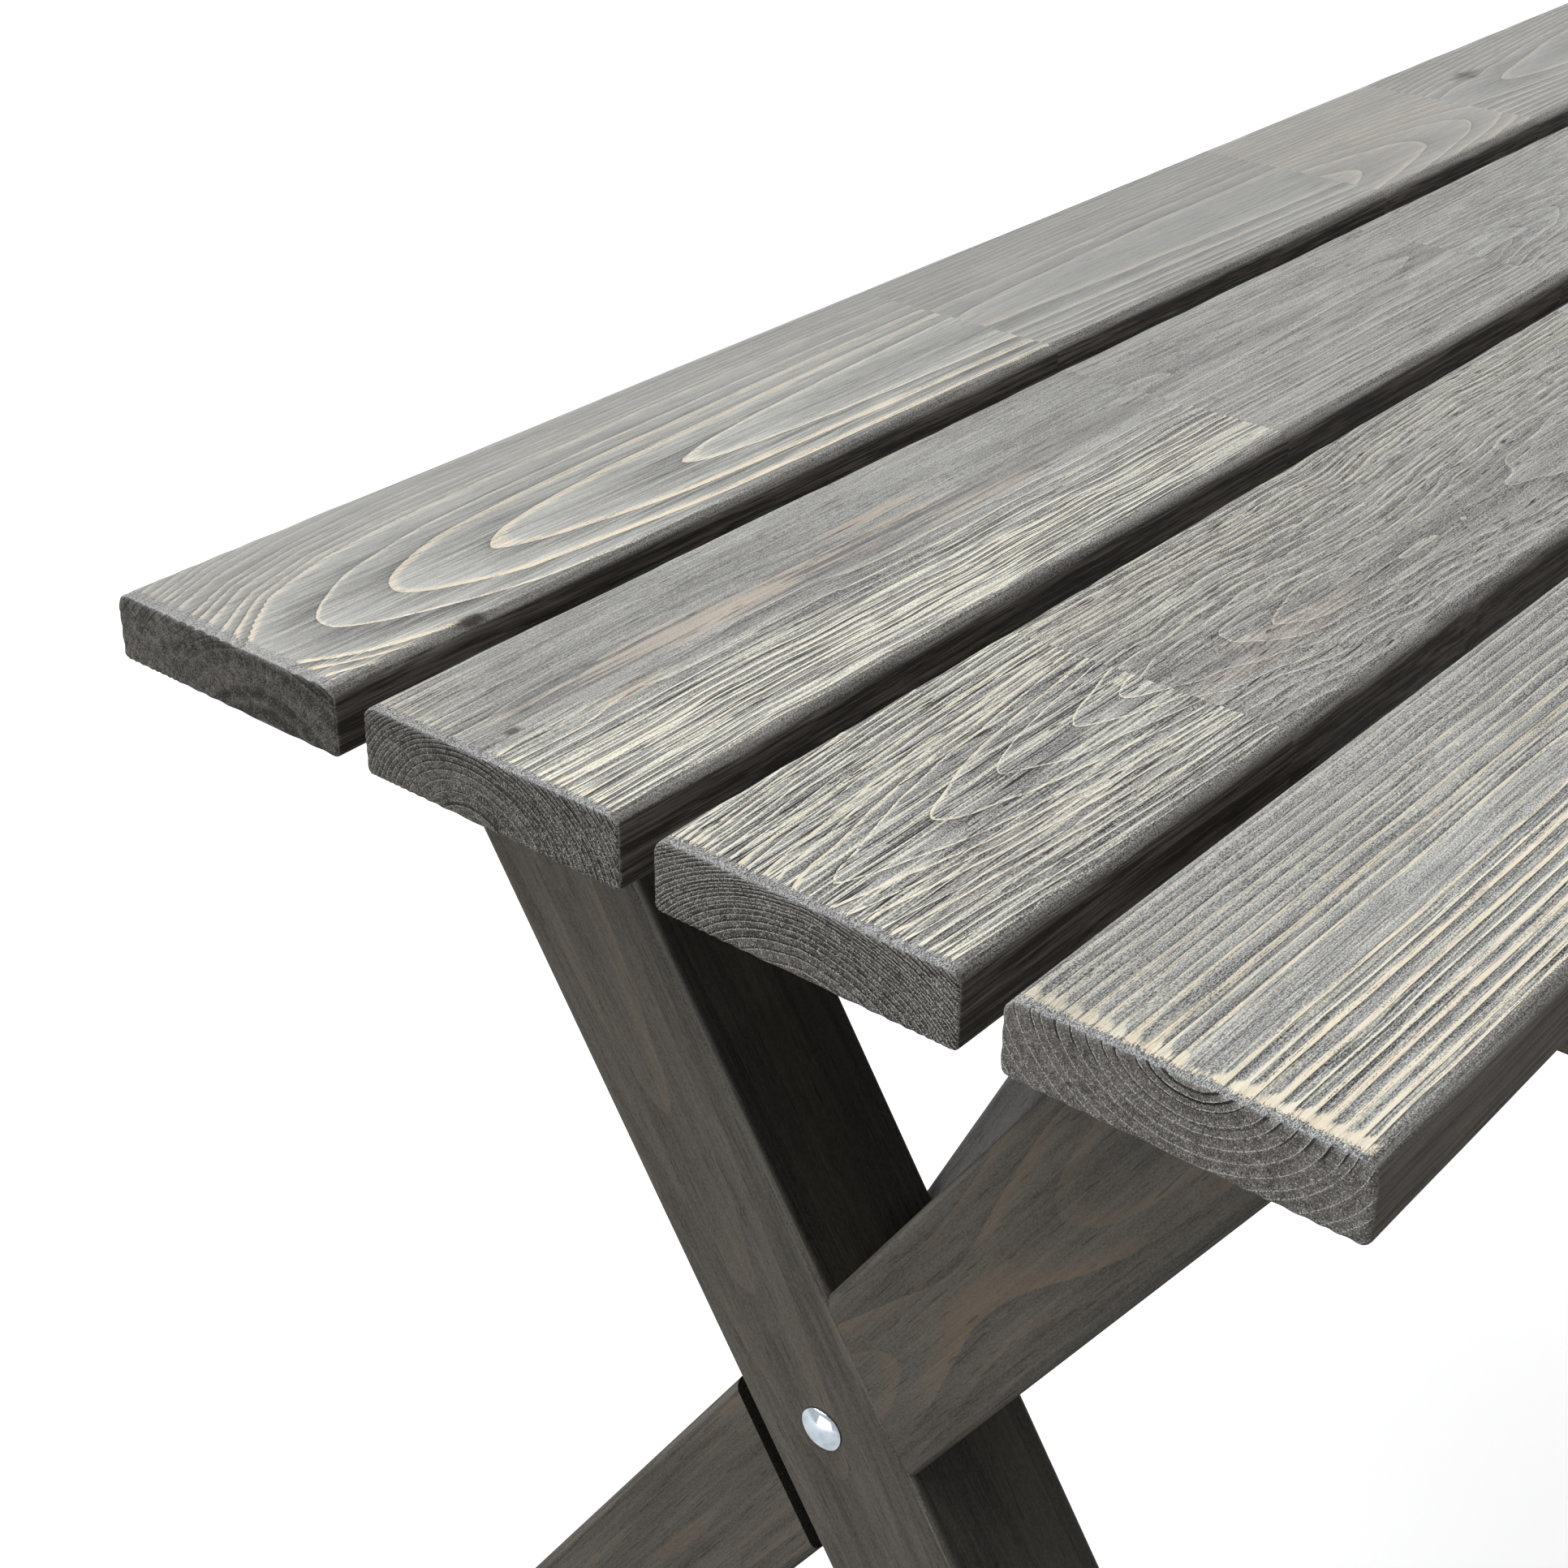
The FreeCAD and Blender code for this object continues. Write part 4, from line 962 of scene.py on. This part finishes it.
def make_board_finish(name, looks):
    """The material of one board."""
    material = bpy.data.materials.new(f"brushed grey stain {name[-1]}")
    material.use_nodes = True
    tree = material.node_tree
    shader = tree.nodes["Principled BSDF"]
    grain = add(tree, "Attribute", attribute_name="grain").outputs["Vector"]
    fibres = use(tree, stained_fibres, Place=grain)
    from_end, from_edge, below, normal = board_place(tree, name)
    ragged = sum_of(tree, (fibres["Glitter"], 0.0016), (fibres["Fibre"], 0.0014))
    on_end = between(tree, calc(tree, "ABSOLUTE", normal[0]), 0.55, 0.8)
    on_side = between(tree, calc(tree, "ABSOLUTE", normal[1]), 0.75, 0.93)
    band = looks["end_band"]
    into_band = sum_of(tree, (from_end, 1.0), (ragged, 1.0), (fibres["Cloud"], 0.25 * band))
    end_zone = between(tree, into_band, band + BAND_FADES_TO, band + BAND_FADES_FROM)
    # The edge band is stain and wear; its extra width along the near edge, which faces away from the light,
    # is painted shade.
    edge_zone = between(tree, calc(tree, "ADD", from_edge, ragged), EDGE_WORN_TO, EDGE_WORN_FROM)
    flare = between(tree, from_end, band + FLARE_REACH, band + BAND_FADES_FROM)
    rings = use(tree, ring_lines, Widen=product(tree, flare, looks["flare"]), Widest=looks["widest"],
                Late_Wood=looks["late_wood"])
    open_face = product(tree, calc(tree, "SUBTRACT", 1.0, end_zone), calc(tree, "SUBTRACT", 1.0, edge_zone))
    face = top_face_colour(tree, looks, fibres, rings, flare, open_face)

    silver = blend(tree, fibres["Glitter"], SILVER_DARK, SILVER_LIGHT)
    face = blend(tree, product(tree, end_zone, looks["end_silver"]), face, silver)
    edge_mottle = sum_of(tree, (fibres["Glitter"], 0.6), (fibres["Streak"], 0.4))
    face = blend(tree, product(tree, edge_zone, 0.92), face, blend(tree, edge_mottle, EDGE_DARK, EDGE_LIGHT))
    side_mottle = sum_of(tree, (fibres["Streak"], 0.55), (fibres["Fibre"], 0.45))
    # Painted light and shade: side_painted_light darkens the sides of boards 1 to 3, which lie in the shaded
    # gaps, and lightens those of board 4, which is open to the light.
    side_mottle = calc(tree, "ADD", side_mottle, looks["side_painted_light"], clamp=True)
    face = blend(tree, on_side, face, blend(tree, side_mottle, SIDE_DARK, SIDE_LIGHT))
    colour = blend(tree, on_end, face, sawn_end_colour(tree, looks, rings, below, ragged, silver))
    colour = blend(tree, product(tree, stored(tree, "dark_flaw"), 0.85), colour, FLAW_DARK)
    ducting = product(tree, fibres["Duct"], looks["ducts"], open_face)
    colour = blend(tree, ducting, colour, HAIR_DARK)
    tree.links.new(colour, shader.inputs["Base Color"])

    tree.links.new(sum_of(tree, (fibres["Glitter"], -0.14), (1.0, 0.82)), shader.inputs["Roughness"])
    shader.inputs["Specular IOR Level"].default_value = 0.12
    height = sum_of(tree, (fibres["Glitter"], 0.12), (fibres["Fibre"], 0.1), (fibres["Duct"], -0.15),
                    (fibres["Hair"], -0.08), (rings["Height"], 1.0))
    tree.links.new(bumped(tree, height), shader.inputs["Normal"])
    return material


print("ready: the finish of a board")

# %% [markdown]
# No two boards took the stain alike, so each has its own numbers for the same finish:
# glitter and streaky say how speckled and how streaky the grey is, and peach how warm the lines are.
# ducts, streaks and hairs say how strong the dark flecks, pale streaks and dark hairlines are.
# widest and late_wood give the broadest line in millimetres and its share of a ring.
# flare says by how many millimetres the lines broaden towards the end, and flare_fill how far they run
# together there.
# bands says how much darker the early wood is, calm how much of the grey's contrast fades with the
# lines, and grooves how dark the lines' outer sides are.
# lift, side_painted_light and end_lift make the top, the sides and the ends lighter or darker;
# side_painted_light is painted light and shade, darker on boards 1 to 3, whose near sides lie in the shaded
# gaps, and lighter on board 4, whose near side is open to the light.
# end_band says how far the stained end reaches over the top, in metres, and end_silver how silvery it
# is there.
# end_soft, end_trench, end_shine and end_pores say how clear the ends' soft rings, dark lines, light
# lines and pores are, and end_inner how many rings round the pith have dark lines.

# %% Four board finishes
BOARD_LOOKS = {
    "top_slat_1": {"glitter": 0.12, "streaky": 0.14, "peach": 0.4, "ducts": 0.1, "streaks": 0.4,
                   "hairs": 0.15, "grooves": 0.45, "widest": 2.6, "late_wood": 0.28, "flare": 0.2,
                   "flare_fill": 0.0, "bands": 0.4, "calm": 0.65, "lift": 0.05, "side_painted_light": -0.3,
                   "end_band": 0.006, "end_silver": 0.55, "end_lift": -0.22, "end_soft": 0.4,
                   "end_trench": 0.4, "end_shine": 0.0, "end_pores": 0.12, "end_inner": 90.0},
    "top_slat_2": {"glitter": 0.44, "streaky": 0.2, "peach": 0.05, "ducts": 0.4, "streaks": 0.8,
                   "hairs": 0.85, "grooves": 0.6, "widest": 0.85, "late_wood": 0.32, "flare": 0.4,
                   "flare_fill": 0.0, "bands": 0.2, "calm": 0.3, "lift": 0.01, "side_painted_light": -0.3,
                   "end_band": 0.004, "end_silver": 0.8, "end_lift": -0.08, "end_soft": 0.25,
                   "end_trench": 0.9, "end_shine": 0.45, "end_pores": 0.75, "end_inner": 90.0},
    "top_slat_3": {"glitter": 0.6, "streaky": 0.16, "peach": -0.05, "ducts": 0.9, "streaks": 0.9,
                   "hairs": 1.2, "grooves": 0.65, "widest": 0.9, "late_wood": 0.3, "flare": 0.5,
                   "flare_fill": 0.0, "bands": 0.25, "calm": 0.2, "lift": -0.03, "side_painted_light": -0.3,
                   "end_band": 0.005, "end_silver": 0.85, "end_lift": 0.02, "end_soft": 0.25,
                   "end_trench": 1.0, "end_shine": 0.8, "end_pores": 0.85, "end_inner": 90.0},
    "top_slat_4": {"glitter": 0.6, "streaky": 0.12, "peach": 0.2, "ducts": 0.2, "streaks": 0.45,
                   "hairs": 0.5, "grooves": 0.5, "widest": 1.5, "late_wood": 0.34, "flare": 3.4,
                   "flare_fill": 1.0, "bands": 0.4, "calm": 0.0, "lift": 0.1, "side_painted_light": 0.15,
                   "end_band": 0.004, "end_silver": 0.85, "end_lift": 0.08, "end_soft": 0.15,
                   "end_trench": 1.0, "end_shine": 0.75, "end_pores": 0.65, "end_inner": 4.4},
}
for name, looks in BOARD_LOOKS.items():
    boards[name].data.materials.append(make_board_finish(name, looks))
print(len(BOARD_LOOKS), "board finishes made")

# %% [markdown]
# ## The posts' and rails' finish
# The posts, battens and braces are planed, not brushed, and carry the same stain on smooth wood: an
# even dark grey-brown with soft streaks, a few brown tongues where the rings surface, and lighter,
# rubbed corners. These pieces keep their CAD solids, whose points carry no ring count. So here the
# rings are worked out in the material, round a pith that is given as numbers, in coordinates that
# are first turned so that the grain runs along the piece.

# %% Turned grain group
TONGUE_REACH = 0.08
RING_WANDER = 0.0035


def make_turned_rings():
    """Late wood lines, brown tongues and tone by ring, round a pith that may climb and bend."""
    group, inputs, outputs = new_group(
        "turned rings",
        {"Place": (0.0, 0.0, 0.0), "Pith Across": 0.0, "Pith Through": 0.0, "Climb": 0.0, "Bend": 0.0,
         "Bend Place": 0.0, "Ring": 5.0},
        ["Line", "Tongue", "Streak"])
    x, y, z = add(group, "SeparateXYZ", inputs["Place"]).outputs
    wander = calc(group, "SUBTRACT", noise(group, stretched(group, inputs["Place"], (9, 30, 30))), 0.5)
    side = calc(group, "SUBTRACT", y, inputs["Pith Across"])
    past = calc(group, "SUBTRACT", x, inputs["Bend Place"])
    reach = calc(group, "DIVIDE", past, TONGUE_REACH)
    level = calc(group, "POWER", math.e, calc(group, "MULTIPLY", calc(group, "MULTIPLY", reach, reach), -1.0))
    bend = calc(group, "MULTIPLY", calc(group, "SUBTRACT", 1.0, level), inputs["Bend"])
    climbing = calc(group, "MULTIPLY_ADD", past, inputs["Climb"], inputs["Pith Through"])
    depth = calc(group, "SUBTRACT", z, calc(group, "ADD", climbing, bend))
    squares = [calc(group, "MULTIPLY", distance, distance) for distance in (side, depth)]
    radius = calc(group, "SQRT", calc(group, "ADD", *squares))
    radius = calc(group, "MULTIPLY_ADD", wander, RING_WANDER, radius)
    count = calc(group, "DIVIDE", radius, calc(group, "MULTIPLY", inputs["Ring"], MM))
    year = calc(group, "FRACT", count)
    line = calc(group, "MULTIPLY", between(group, year, 0.62, 0.94), between(group, year, 1.0, 0.96))
    each = random_by_number(group, calc(group, "FLOOR", count))
    tongue = calc(group, "MULTIPLY", between(group, each, 0.55, 0.75), between(group, year, 0.25, 0.8))
    streak = calc(group, "MULTIPLY_ADD", each, 0.5, calc(group, "MULTIPLY", year, 0.5))
    for title, value in (("Line", line), ("Tongue", tongue), ("Streak", streak)):
        group.links.new(value, outputs[title])
    return group


def make_rubbed_corners():
    """How near the surface is to a rounded corner of a square piece, from its normal in the piece's axes."""
    group, inputs, outputs = new_group("rubbed corners", {"Normal": (0.0, 0.0, 1.0)}, ["Corner", "End"])
    x, y, z = [calc(group, "ABSOLUTE", s) for s in add(group, "SeparateXYZ", inputs["Normal"]).outputs]
    squarest = calc(group, "MAXIMUM", calc(group, "MAXIMUM", x, y), z)
    group.links.new(between(group, squarest, 0.985, 0.8), outputs["Corner"])
    group.links.new(between(group, x, 0.7, 0.9), outputs["End"])
    return group


turned_rings, rubbed_corners = make_turned_rings(), make_rubbed_corners()
for group in (turned_rings, rubbed_corners):
    print("group", group.name, "has", len(group.nodes), "nodes")

# %% [markdown]
# One function makes the finish of every planed piece. Each call says how the piece is turned and where its
# pith runs, so the pieces don't all show the same figure. The braces' narrow upper edges catch the light, so
# their colour is painted paler, as painted light, and made glossier.

# %% Planed finish
PLANED_DARK, PLANED_LIGHT = stain(68, 65, 61), stain(122, 118, 111)
PLANED_BROWN, CORNER_RUBBED = stain(134, 114, 94), stain(156, 152, 145)
PLANED_END_DARK, PLANED_END_LIGHT, PLANED_DUCT = stain(36, 33, 31), stain(72, 67, 62), stain(40, 37, 34)


def grain_along_x(tree, vector, tilt_axis, tilt):
    """A vector turned into the piece's own axes, with its length along X.

    A piece that leans about the X axis stands upright once it is turned, so its X and Z are swapped.
    """
    turned = add(tree, "VectorRotate", vector, (0.0, 0.0, 0.0), tilt, rotation_type=tilt_axis).outputs[0]
    if tilt_axis != "X_AXIS":
        return turned
    x, y, z = add(tree, "SeparateXYZ", turned).outputs
    return add(tree, "CombineXYZ", z, y, x).outputs[0]


def make_planed_finish(name, tilt_axis, tilt, middle, pith, climb, ring, brown, shade=(1.0, 1.0, 1.0),
                       rub=0.25, bend=(0.0, 0.0), gloss=0.02):
    """The finish of a planed, stained piece that lies straight once it is turned by tilt about middle.

    The pith is given across and through the piece from its middle. Bend is a length and a place along the
    piece: on both sides of that place the pith moves away by that length, so that the rings close into
    tongues there. Shade multiplies the colours; above 1, as on the braces, it is painted light. Rub says how
    pale the corners are worn.
    """
    material = bpy.data.materials.new(f"planed dark stain {name}")
    material.use_nodes = True
    tree = material.node_tree
    shader = tree.nodes["Principled BSDF"]
    coordinates = add(tree, "TexCoord")
    from_middle = add(tree, "VectorMath", coordinates.outputs["Object"], middle, operation="SUBTRACT")
    place = grain_along_x(tree, from_middle.outputs[0], tilt_axis, tilt)
    normal = grain_along_x(tree, coordinates.outputs["Normal"], tilt_axis, tilt)
    rings = use(tree, turned_rings, Place=place, Pith_Across=pith[0], Pith_Through=pith[1], Climb=climb,
                Bend=bend[0], Bend_Place=bend[1], Ring=ring)
    fibres = use(tree, stained_fibres, Place=place, Glitter_Size=0.6)
    corners = use(tree, rubbed_corners, Normal=normal)
    mottle = sum_of(tree, (fibres["Cloud"], 0.28), (fibres["Streak"], 0.18), (rings["Streak"], 0.3),
                    (fibres["Fibre"], 0.12), (fibres["Glitter"], 0.26), (1.0, -0.06), clamp=True)
    dark, light, brownish = [tuple(c * share for c, share in zip(colour, shade)) + (1.0,)
                             for colour in (PLANED_DARK, PLANED_LIGHT, PLANED_BROWN)]
    colour = blend(tree, mottle, dark, light)
    patchy = between(tree, fibres["Cloud"], 0.1, 0.9)
    browning = calc(tree, "MULTIPLY_ADD", rings["Line"], 0.6, calc(tree, "MULTIPLY", rings["Tongue"], 0.55))
    browning = calc(tree, "MULTIPLY", browning, calc(tree, "MULTIPLY", patchy, brown), clamp=True)
    colour = blend(tree, browning, colour, brownish)
    worn = sum_of(tree, (fibres["Glitter"], 0.3), (fibres["Streak"], 0.7))
    rubbed = product(tree, corners["Corner"], between(tree, worn, 0.25, 0.8), rub)
    colour = blend(tree, rubbed, colour, CORNER_RUBBED)
    end_colour = blend(tree, fibres["Glitter"], PLANED_END_DARK, PLANED_END_LIGHT)
    colour = blend(tree, calc(tree, "MULTIPLY", corners["End"], 0.9), colour, end_colour)
    colour = blend(tree, calc(tree, "MULTIPLY", fibres["Duct"], 0.35), colour, PLANED_DUCT)
    tree.links.new(colour, shader.inputs["Base Color"])
    tree.links.new(calc(tree, "MULTIPLY_ADD", fibres["Cloud"], 0.14, 0.6), shader.inputs["Roughness"])
    shader.inputs["Specular IOR Level"].default_value = gloss
    height = sum_of(tree, (fibres["Glitter"], 0.04), (fibres["Fibre"], 0.05), (rings["Line"], 0.05))
    tree.links.new(bumped(tree, height), shader.inputs["Normal"])
    return material


def give(node_name, material):
    """Put a material on a solid from the frame."""
    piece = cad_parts[node_name]
    piece.data.materials.clear()
    piece.data.materials.append(material)
    print(node_name, "gets", material.name)


print("planed wood gives back", round(PLANED_DARK[0], 3), "to", round(PLANED_LIGHT[0], 3), "of the light")

# %% [markdown]
# Each X has two posts that cross at the bolt and lean as much one way as the other, so the turn of
# their grain is measured from that crossing. The far X is the near one turned half round: facing is 1
# or -1 and turns the signs.

# %% Finish the posts
POST_LEAN = math.radians(32.8)
for end, facing in (("near", 1), ("far", -1)):
    low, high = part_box(f"{end}_leg_a")
    through = (low.x + high.x) / 2
    front = -facing * (high.x - low.x) / 2
    low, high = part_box(f"{end}_crossing_bolt")
    crossing = (through, (low.y + high.y) / 2, (low.z + high.z) / 2)
    give(f"{end}_leg_a", make_planed_finish(f"{end} a", "X_AXIS", facing * POST_LEAN, crossing,
                                            (0.005, front + facing * 0.040), -facing * 0.06, 5.5, 0.15,
                                            rub=0.45, bend=(0.0, 0.127)))
    give(f"{end}_leg_b", make_planed_finish(f"{end} b", "X_AXIS", -facing * POST_LEAN, crossing,
                                            (0.003, front + facing * 0.041), 0.0, 6.0, 0.45,
                                            bend=(-facing * 0.011, 0.132)))

# %% [markdown]
# The three battens lie across the table and the braces climb along it, so their grain is turned about
# the upright axis and about the crosswise one.

# %% Finish the battens and braces
for number, name in enumerate(("near_cleat", "far_cleat", "centre_cleat")):
    low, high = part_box(name)
    finish = make_planed_finish(name.replace("_", " "), "Z_AXIS", math.pi / 2, tuple((low + high) / 2),
                                (0.01, 0.03 + 0.01 * number), 0.02, 4.0, 0.4)
    give(name, finish)
for name, way in (("near_brace", 1), ("far_brace", -1)):
    low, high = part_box(name)
    slope = way * math.atan2(high.z - low.z, high.x - low.x)
    # Painted light: shade makes the braces' colour about four times paler than the posts' stain.
    finish = make_planed_finish(name.replace("_", " "), "Y_AXIS", slope, tuple((low + high) / 2),
                                (0.03, 0.02 * way), 0.02, 4.0, 0.05, shade=(3.6, 3.8, 4.2), gloss=0.5)
    give(name, finish)

# %% [markdown]
# ## Bright fasteners
# The bolts, washers and nuts are steel with a thin bright plating. A smooth metal is nearly all
# reflection, so its look comes from the room. The material adds what keeps it from looking like a
# mirror: a slight waviness, fine scratches and a cloudiness that dulls parts of it.

# %% Plated steel
CLOUDS_PER_METRE = 260.0


def make_plated_steel(name, colour, roughness):
    """Steel with a thin plating, faintly cloudy and scratched."""
    material = bpy.data.materials.new(name)
    material.use_nodes = True
    tree = material.node_tree
    shader = tree.nodes["Principled BSDF"]
    place = add(tree, "TexCoord").outputs["Object"]
    cloud = noise(tree, place, CLOUDS_PER_METRE)
    scratch = noise(tree, stretched(tree, place, (300, 2600, 700)), roughness=0.6)
    dull = tuple(c * 0.8 for c in colour[:3]) + (1.0,)
    tree.links.new(blend(tree, between(tree, cloud, 0.35, 0.75), colour, dull), shader.inputs["Base Color"])
    tree.links.new(calc(tree, "MULTIPLY_ADD", cloud, 0.12, roughness), shader.inputs["Roughness"])
    shader.inputs["Metallic"].default_value = 1.0
    height = calc(tree, "MULTIPLY_ADD", scratch, 0.004, calc(tree, "MULTIPLY", cloud, 0.02))
    tree.links.new(bumped(tree, height, 0.6), shader.inputs["Normal"])
    return material


bright_plate = make_plated_steel("bright plated steel", stain(174, 183, 192), 0.06)
dull_plate = make_plated_steel("dull plated steel", stain(186, 182, 170), 0.3)
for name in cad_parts:
    if "screws" in name:
        give(name, dull_plate)
    elif "washers" in name or "nuts" in name:
        give(name, bright_plate)

# %% [markdown]
# A carriage bolt is pressed from round wire: a low dome with a rounded rim, a square neck that bites
# into the wood, and a thread. It is made like turned work, as rings of points strung along its axis.
# The neck's rings are pushed out to a square, whose corners stay a little blunt, and the thread is a
# row of ridges instead of a spiral. The bolt's place and length come from the box of the solid that it
# stands for. The sizes below are in millimetres.

# %% Bolts
BOLT_SIDES, SHARP_FROM = 64, math.radians(35)
SOLID_HEAD_RADIUS = 10.0
HEAD_RADIUS, HEAD_HEIGHT, DOME_HEIGHT, DOME_RADIUS = 10.4, 4.9, 3.3, 9.8
NECK_END, NECK_HALF, NECK_CORNER, SHANK_RADIUS = 9.5, 4.04, 1.3, 4.0
THREAD_ROOT, THREAD_PITCH, THREAD_LENGTH = 3.4, 1.25, 22.0


def bolt_rings(length):
    """Rings from the top of the dome to the tip: (distance from the top, radius, square or not)."""
    dome = [(DOME_HEIGHT * share ** 2, DOME_RADIUS * share, False) for share in np.linspace(0.03, 1, 9)]
    rim = [(3.75, 10.2, False), (4.3, HEAD_RADIUS, False), (HEAD_HEIGHT, HEAD_RADIUS, False)]
    neck = [(HEAD_HEIGHT, NECK_HALF, True), (NECK_END, NECK_HALF, True)]
    thread_start = length - THREAD_LENGTH
    shank = [(NECK_END, SHANK_RADIUS, False), (thread_start, SHANK_RADIUS, False)]
    turns = int(THREAD_LENGTH / THREAD_PITCH)
    thread = [(thread_start + (turn + part) * THREAD_PITCH, radius, False) for turn in range(turns)
              for part, radius in ((0.5, THREAD_ROOT), (1.0, SHANK_RADIUS - 0.1))]
    return dome + rim + neck + shank + thread + [(length, THREAD_ROOT - 0.4, False)]


def bolt_points(rings, top, tip, y, z):
    """The rings' points round an axis along X, through y and z in metres."""
    points = []
    for distance, radius, square in rings:
        for side in range(BOLT_SIDES):
            angle = 2 * math.pi * side / BOLT_SIDES
            across, up = math.cos(angle), math.sin(angle)
            to_square = min(1 / max(abs(across), abs(up)), NECK_CORNER) if square else 1.0
            reach = radius * to_square * MM
            way = 1 if tip > top else -1
            points.append((top + way * distance * MM, y + reach * across, z + reach * up * way))
    return points


def make_bolts(name):
    """The bolts of one node, side by side or single, as one piece."""
    low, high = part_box(name)
    outside, inside = (low.x, high.x) if low.x < 0 else (high.x, low.x)
    edge = SOLID_HEAD_RADIUS * MM
    places = sorted({round(low.y + edge, 5), round(high.y - edge, 5)})
    rings = bolt_rings(abs(inside - outside) / MM)
    points, faces = [], []
    for y in places:
        first = len(points)
        points += bolt_points(rings, outside, inside, y, (low.z + high.z) / 2)
        for ring in range(len(rings) - 1):
            here = first + ring * BOLT_SIDES
            for side in range(BOLT_SIDES):
                beside = (side + 1) % BOLT_SIDES
                after = here + BOLT_SIDES
                faces.append((here + side, here + beside, after + beside, after + side))
        faces.append(tuple(range(first, first + BOLT_SIDES))[::-1])
        faces.append(tuple(range(len(points) - BOLT_SIDES, len(points))))
    mesh = bpy.data.meshes.new(f"turned_{name}")
    mesh.from_pydata(points, [], faces)
    mesh.shade_smooth()
    mesh.set_sharp_from_angle(angle=SHARP_FROM)
    mesh.materials.append(bright_plate)
    bolts = bpy.data.objects.new(f"turned_{name}", mesh)
    bpy.context.scene.collection.objects.link(bolts)
    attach(bolts, "root")
    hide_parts(name)
    print(bolts.name, len(places), "bolts,", len(points), "points")


for name in ("near_crossing_bolt", "far_crossing_bolt", "near_leg_bolts", "far_leg_bolts"):
    make_bolts(name)

# %% [markdown]
# ## Room
# A large soft lamp hangs over the far side of the top, a smaller one over the camera's side, and a
# third stands before the near end. So the top is brightest, the ends and posts are half lit, and the
# sides turned to the camera fall into shade. Two weak lamps with a narrow spread light the far end,
# which the camera doesn't see but other views do.

# %% Lamps
def make_lamp(name, place, aim, size, power, spread=180):
    """A rectangular soft lamp. Spread is the angle in degrees that its light stays within."""
    data = bpy.data.lights.new(name, "AREA")
    data.shape = "RECTANGLE"
    data.size, data.size_y = size
    data.energy = power
    data.spread = math.radians(spread)
    lamp = bpy.data.objects.new(name, data)
    bpy.context.scene.collection.objects.link(lamp)
    lamp.location = place
    lamp.rotation_euler = (Vector(aim) - Vector(place)).to_track_quat("-Z", "Y").to_euler()
    print(name, power, "W")


make_lamp("overhead softbox", (-1.15, 1.0, 2.35), (-0.45, 0.0, 0.7), (2.2, 2.2), 51)
make_lamp("side softbox", (-0.3, -1.7, 3.3), (-0.4, 0.0, 0.7), (1.3, 1.3), 20)
make_lamp("end softbox", (-3.1, 0.15, 0.58), (-0.65, 0.0, 0.42), (1.8, 1.1), 28)
make_lamp("far end softbox", (3.0, 0.15, 0.95), (0.72, 0.0, 0.4), (1.4, 1.0), 12, spread=60)
make_lamp("far top softbox", (2.0, 0.9, 2.3), (1.3, 0.0, 0.7), (1.0, 1.0), 3, spread=50)

# %% [markdown]
# To the camera, and in reflections, floor and room are white, while the light that they give back to
# the wood stays low. The ray's kind tells one from the other.

# %% World
DIM_ROOM, WHITE = (0.034, 0.035, 0.037, 1), (1, 1, 1, 1)


def seen_directly(tree):
    """1 for rays from the camera, in reflections and through glass, 0 for soft light on the wood."""
    rays = add(tree, "LightPath").outputs
    seen = calc(tree, "MAXIMUM", rays["Is Camera Ray"], rays["Is Glossy Ray"])
    return calc(tree, "MAXIMUM", seen, rays["Is Transmission Ray"])


world = bpy.data.worlds.new("room")
world.use_nodes = True
bpy.context.scene.world = world
tree = world.node_tree
background = tree.nodes["Background"]
tree.links.new(blend(tree, seen_directly(tree), DIM_ROOM, WHITE), background.inputs["Color"])
print("the room shows", WHITE[:3], "and gives the wood", DIM_ROOM[:3])

# %% [markdown]
# The floor glows in white far from the table. Nearer, within a few paces, it glows less, so that the
# lamps make the rest of its white and the table's shadow shows.

# %% Floor
FLOOR_FROM, FLOOR_TO = -12, 14
NO_GLOW, GLOW_NEAR = (0, 0, 0, 1), (0.5, 0.5, 0.5, 1)
FLOOR_DIM, FLOOR_SEEN = (0.08, 0.08, 0.08, 1), (0.85, 0.85, 0.85, 1)
GLOW_FROM, GLOW_FULL = 0.9, 3.0

floor_mesh = bpy.data.meshes.new("floor")
corners = [(FLOOR_FROM, FLOOR_FROM, 0), (FLOOR_TO, FLOOR_FROM, 0),
           (FLOOR_TO, FLOOR_TO, 0), (FLOOR_FROM, FLOOR_TO, 0)]
floor_mesh.from_pydata(corners, [], [(0, 1, 2, 3)])
floor = bpy.data.objects.new("floor", floor_mesh)
bpy.context.scene.collection.objects.link(floor)
floor_material = bpy.data.materials.new("pale floor")
floor_material.use_nodes = True
tree = floor_material.node_tree
shader = tree.nodes["Principled BSDF"]
seen = seen_directly(tree)
tree.links.new(blend(tree, seen, FLOOR_DIM, FLOOR_SEEN), shader.inputs["Base Color"])
from_table = add(tree, "VectorMath", add(tree, "TexCoord").outputs["Object"], operation="LENGTH")
far_off = between(tree, from_table.outputs["Value"], GLOW_FROM, GLOW_FULL)
glow = blend(tree, far_off, GLOW_NEAR, WHITE)
tree.links.new(blend(tree, seen, NO_GLOW, glow), shader.inputs["Emission Color"])
shader.inputs["Emission Strength"].default_value = 1.0
shader.inputs["Roughness"].default_value = 1.0
shader.inputs["Specular IOR Level"].default_value = 0.0
floor_mesh.materials.append(floor_material)
print("the floor's glow rises from", GLOW_FROM, "to", GLOW_FULL, "m from the table's middle")

# %% [markdown]
# ## Finish
# The Standard view shows colours as they are.

# %% Finish
bpy.context.scene.view_settings.view_transform = "Standard"
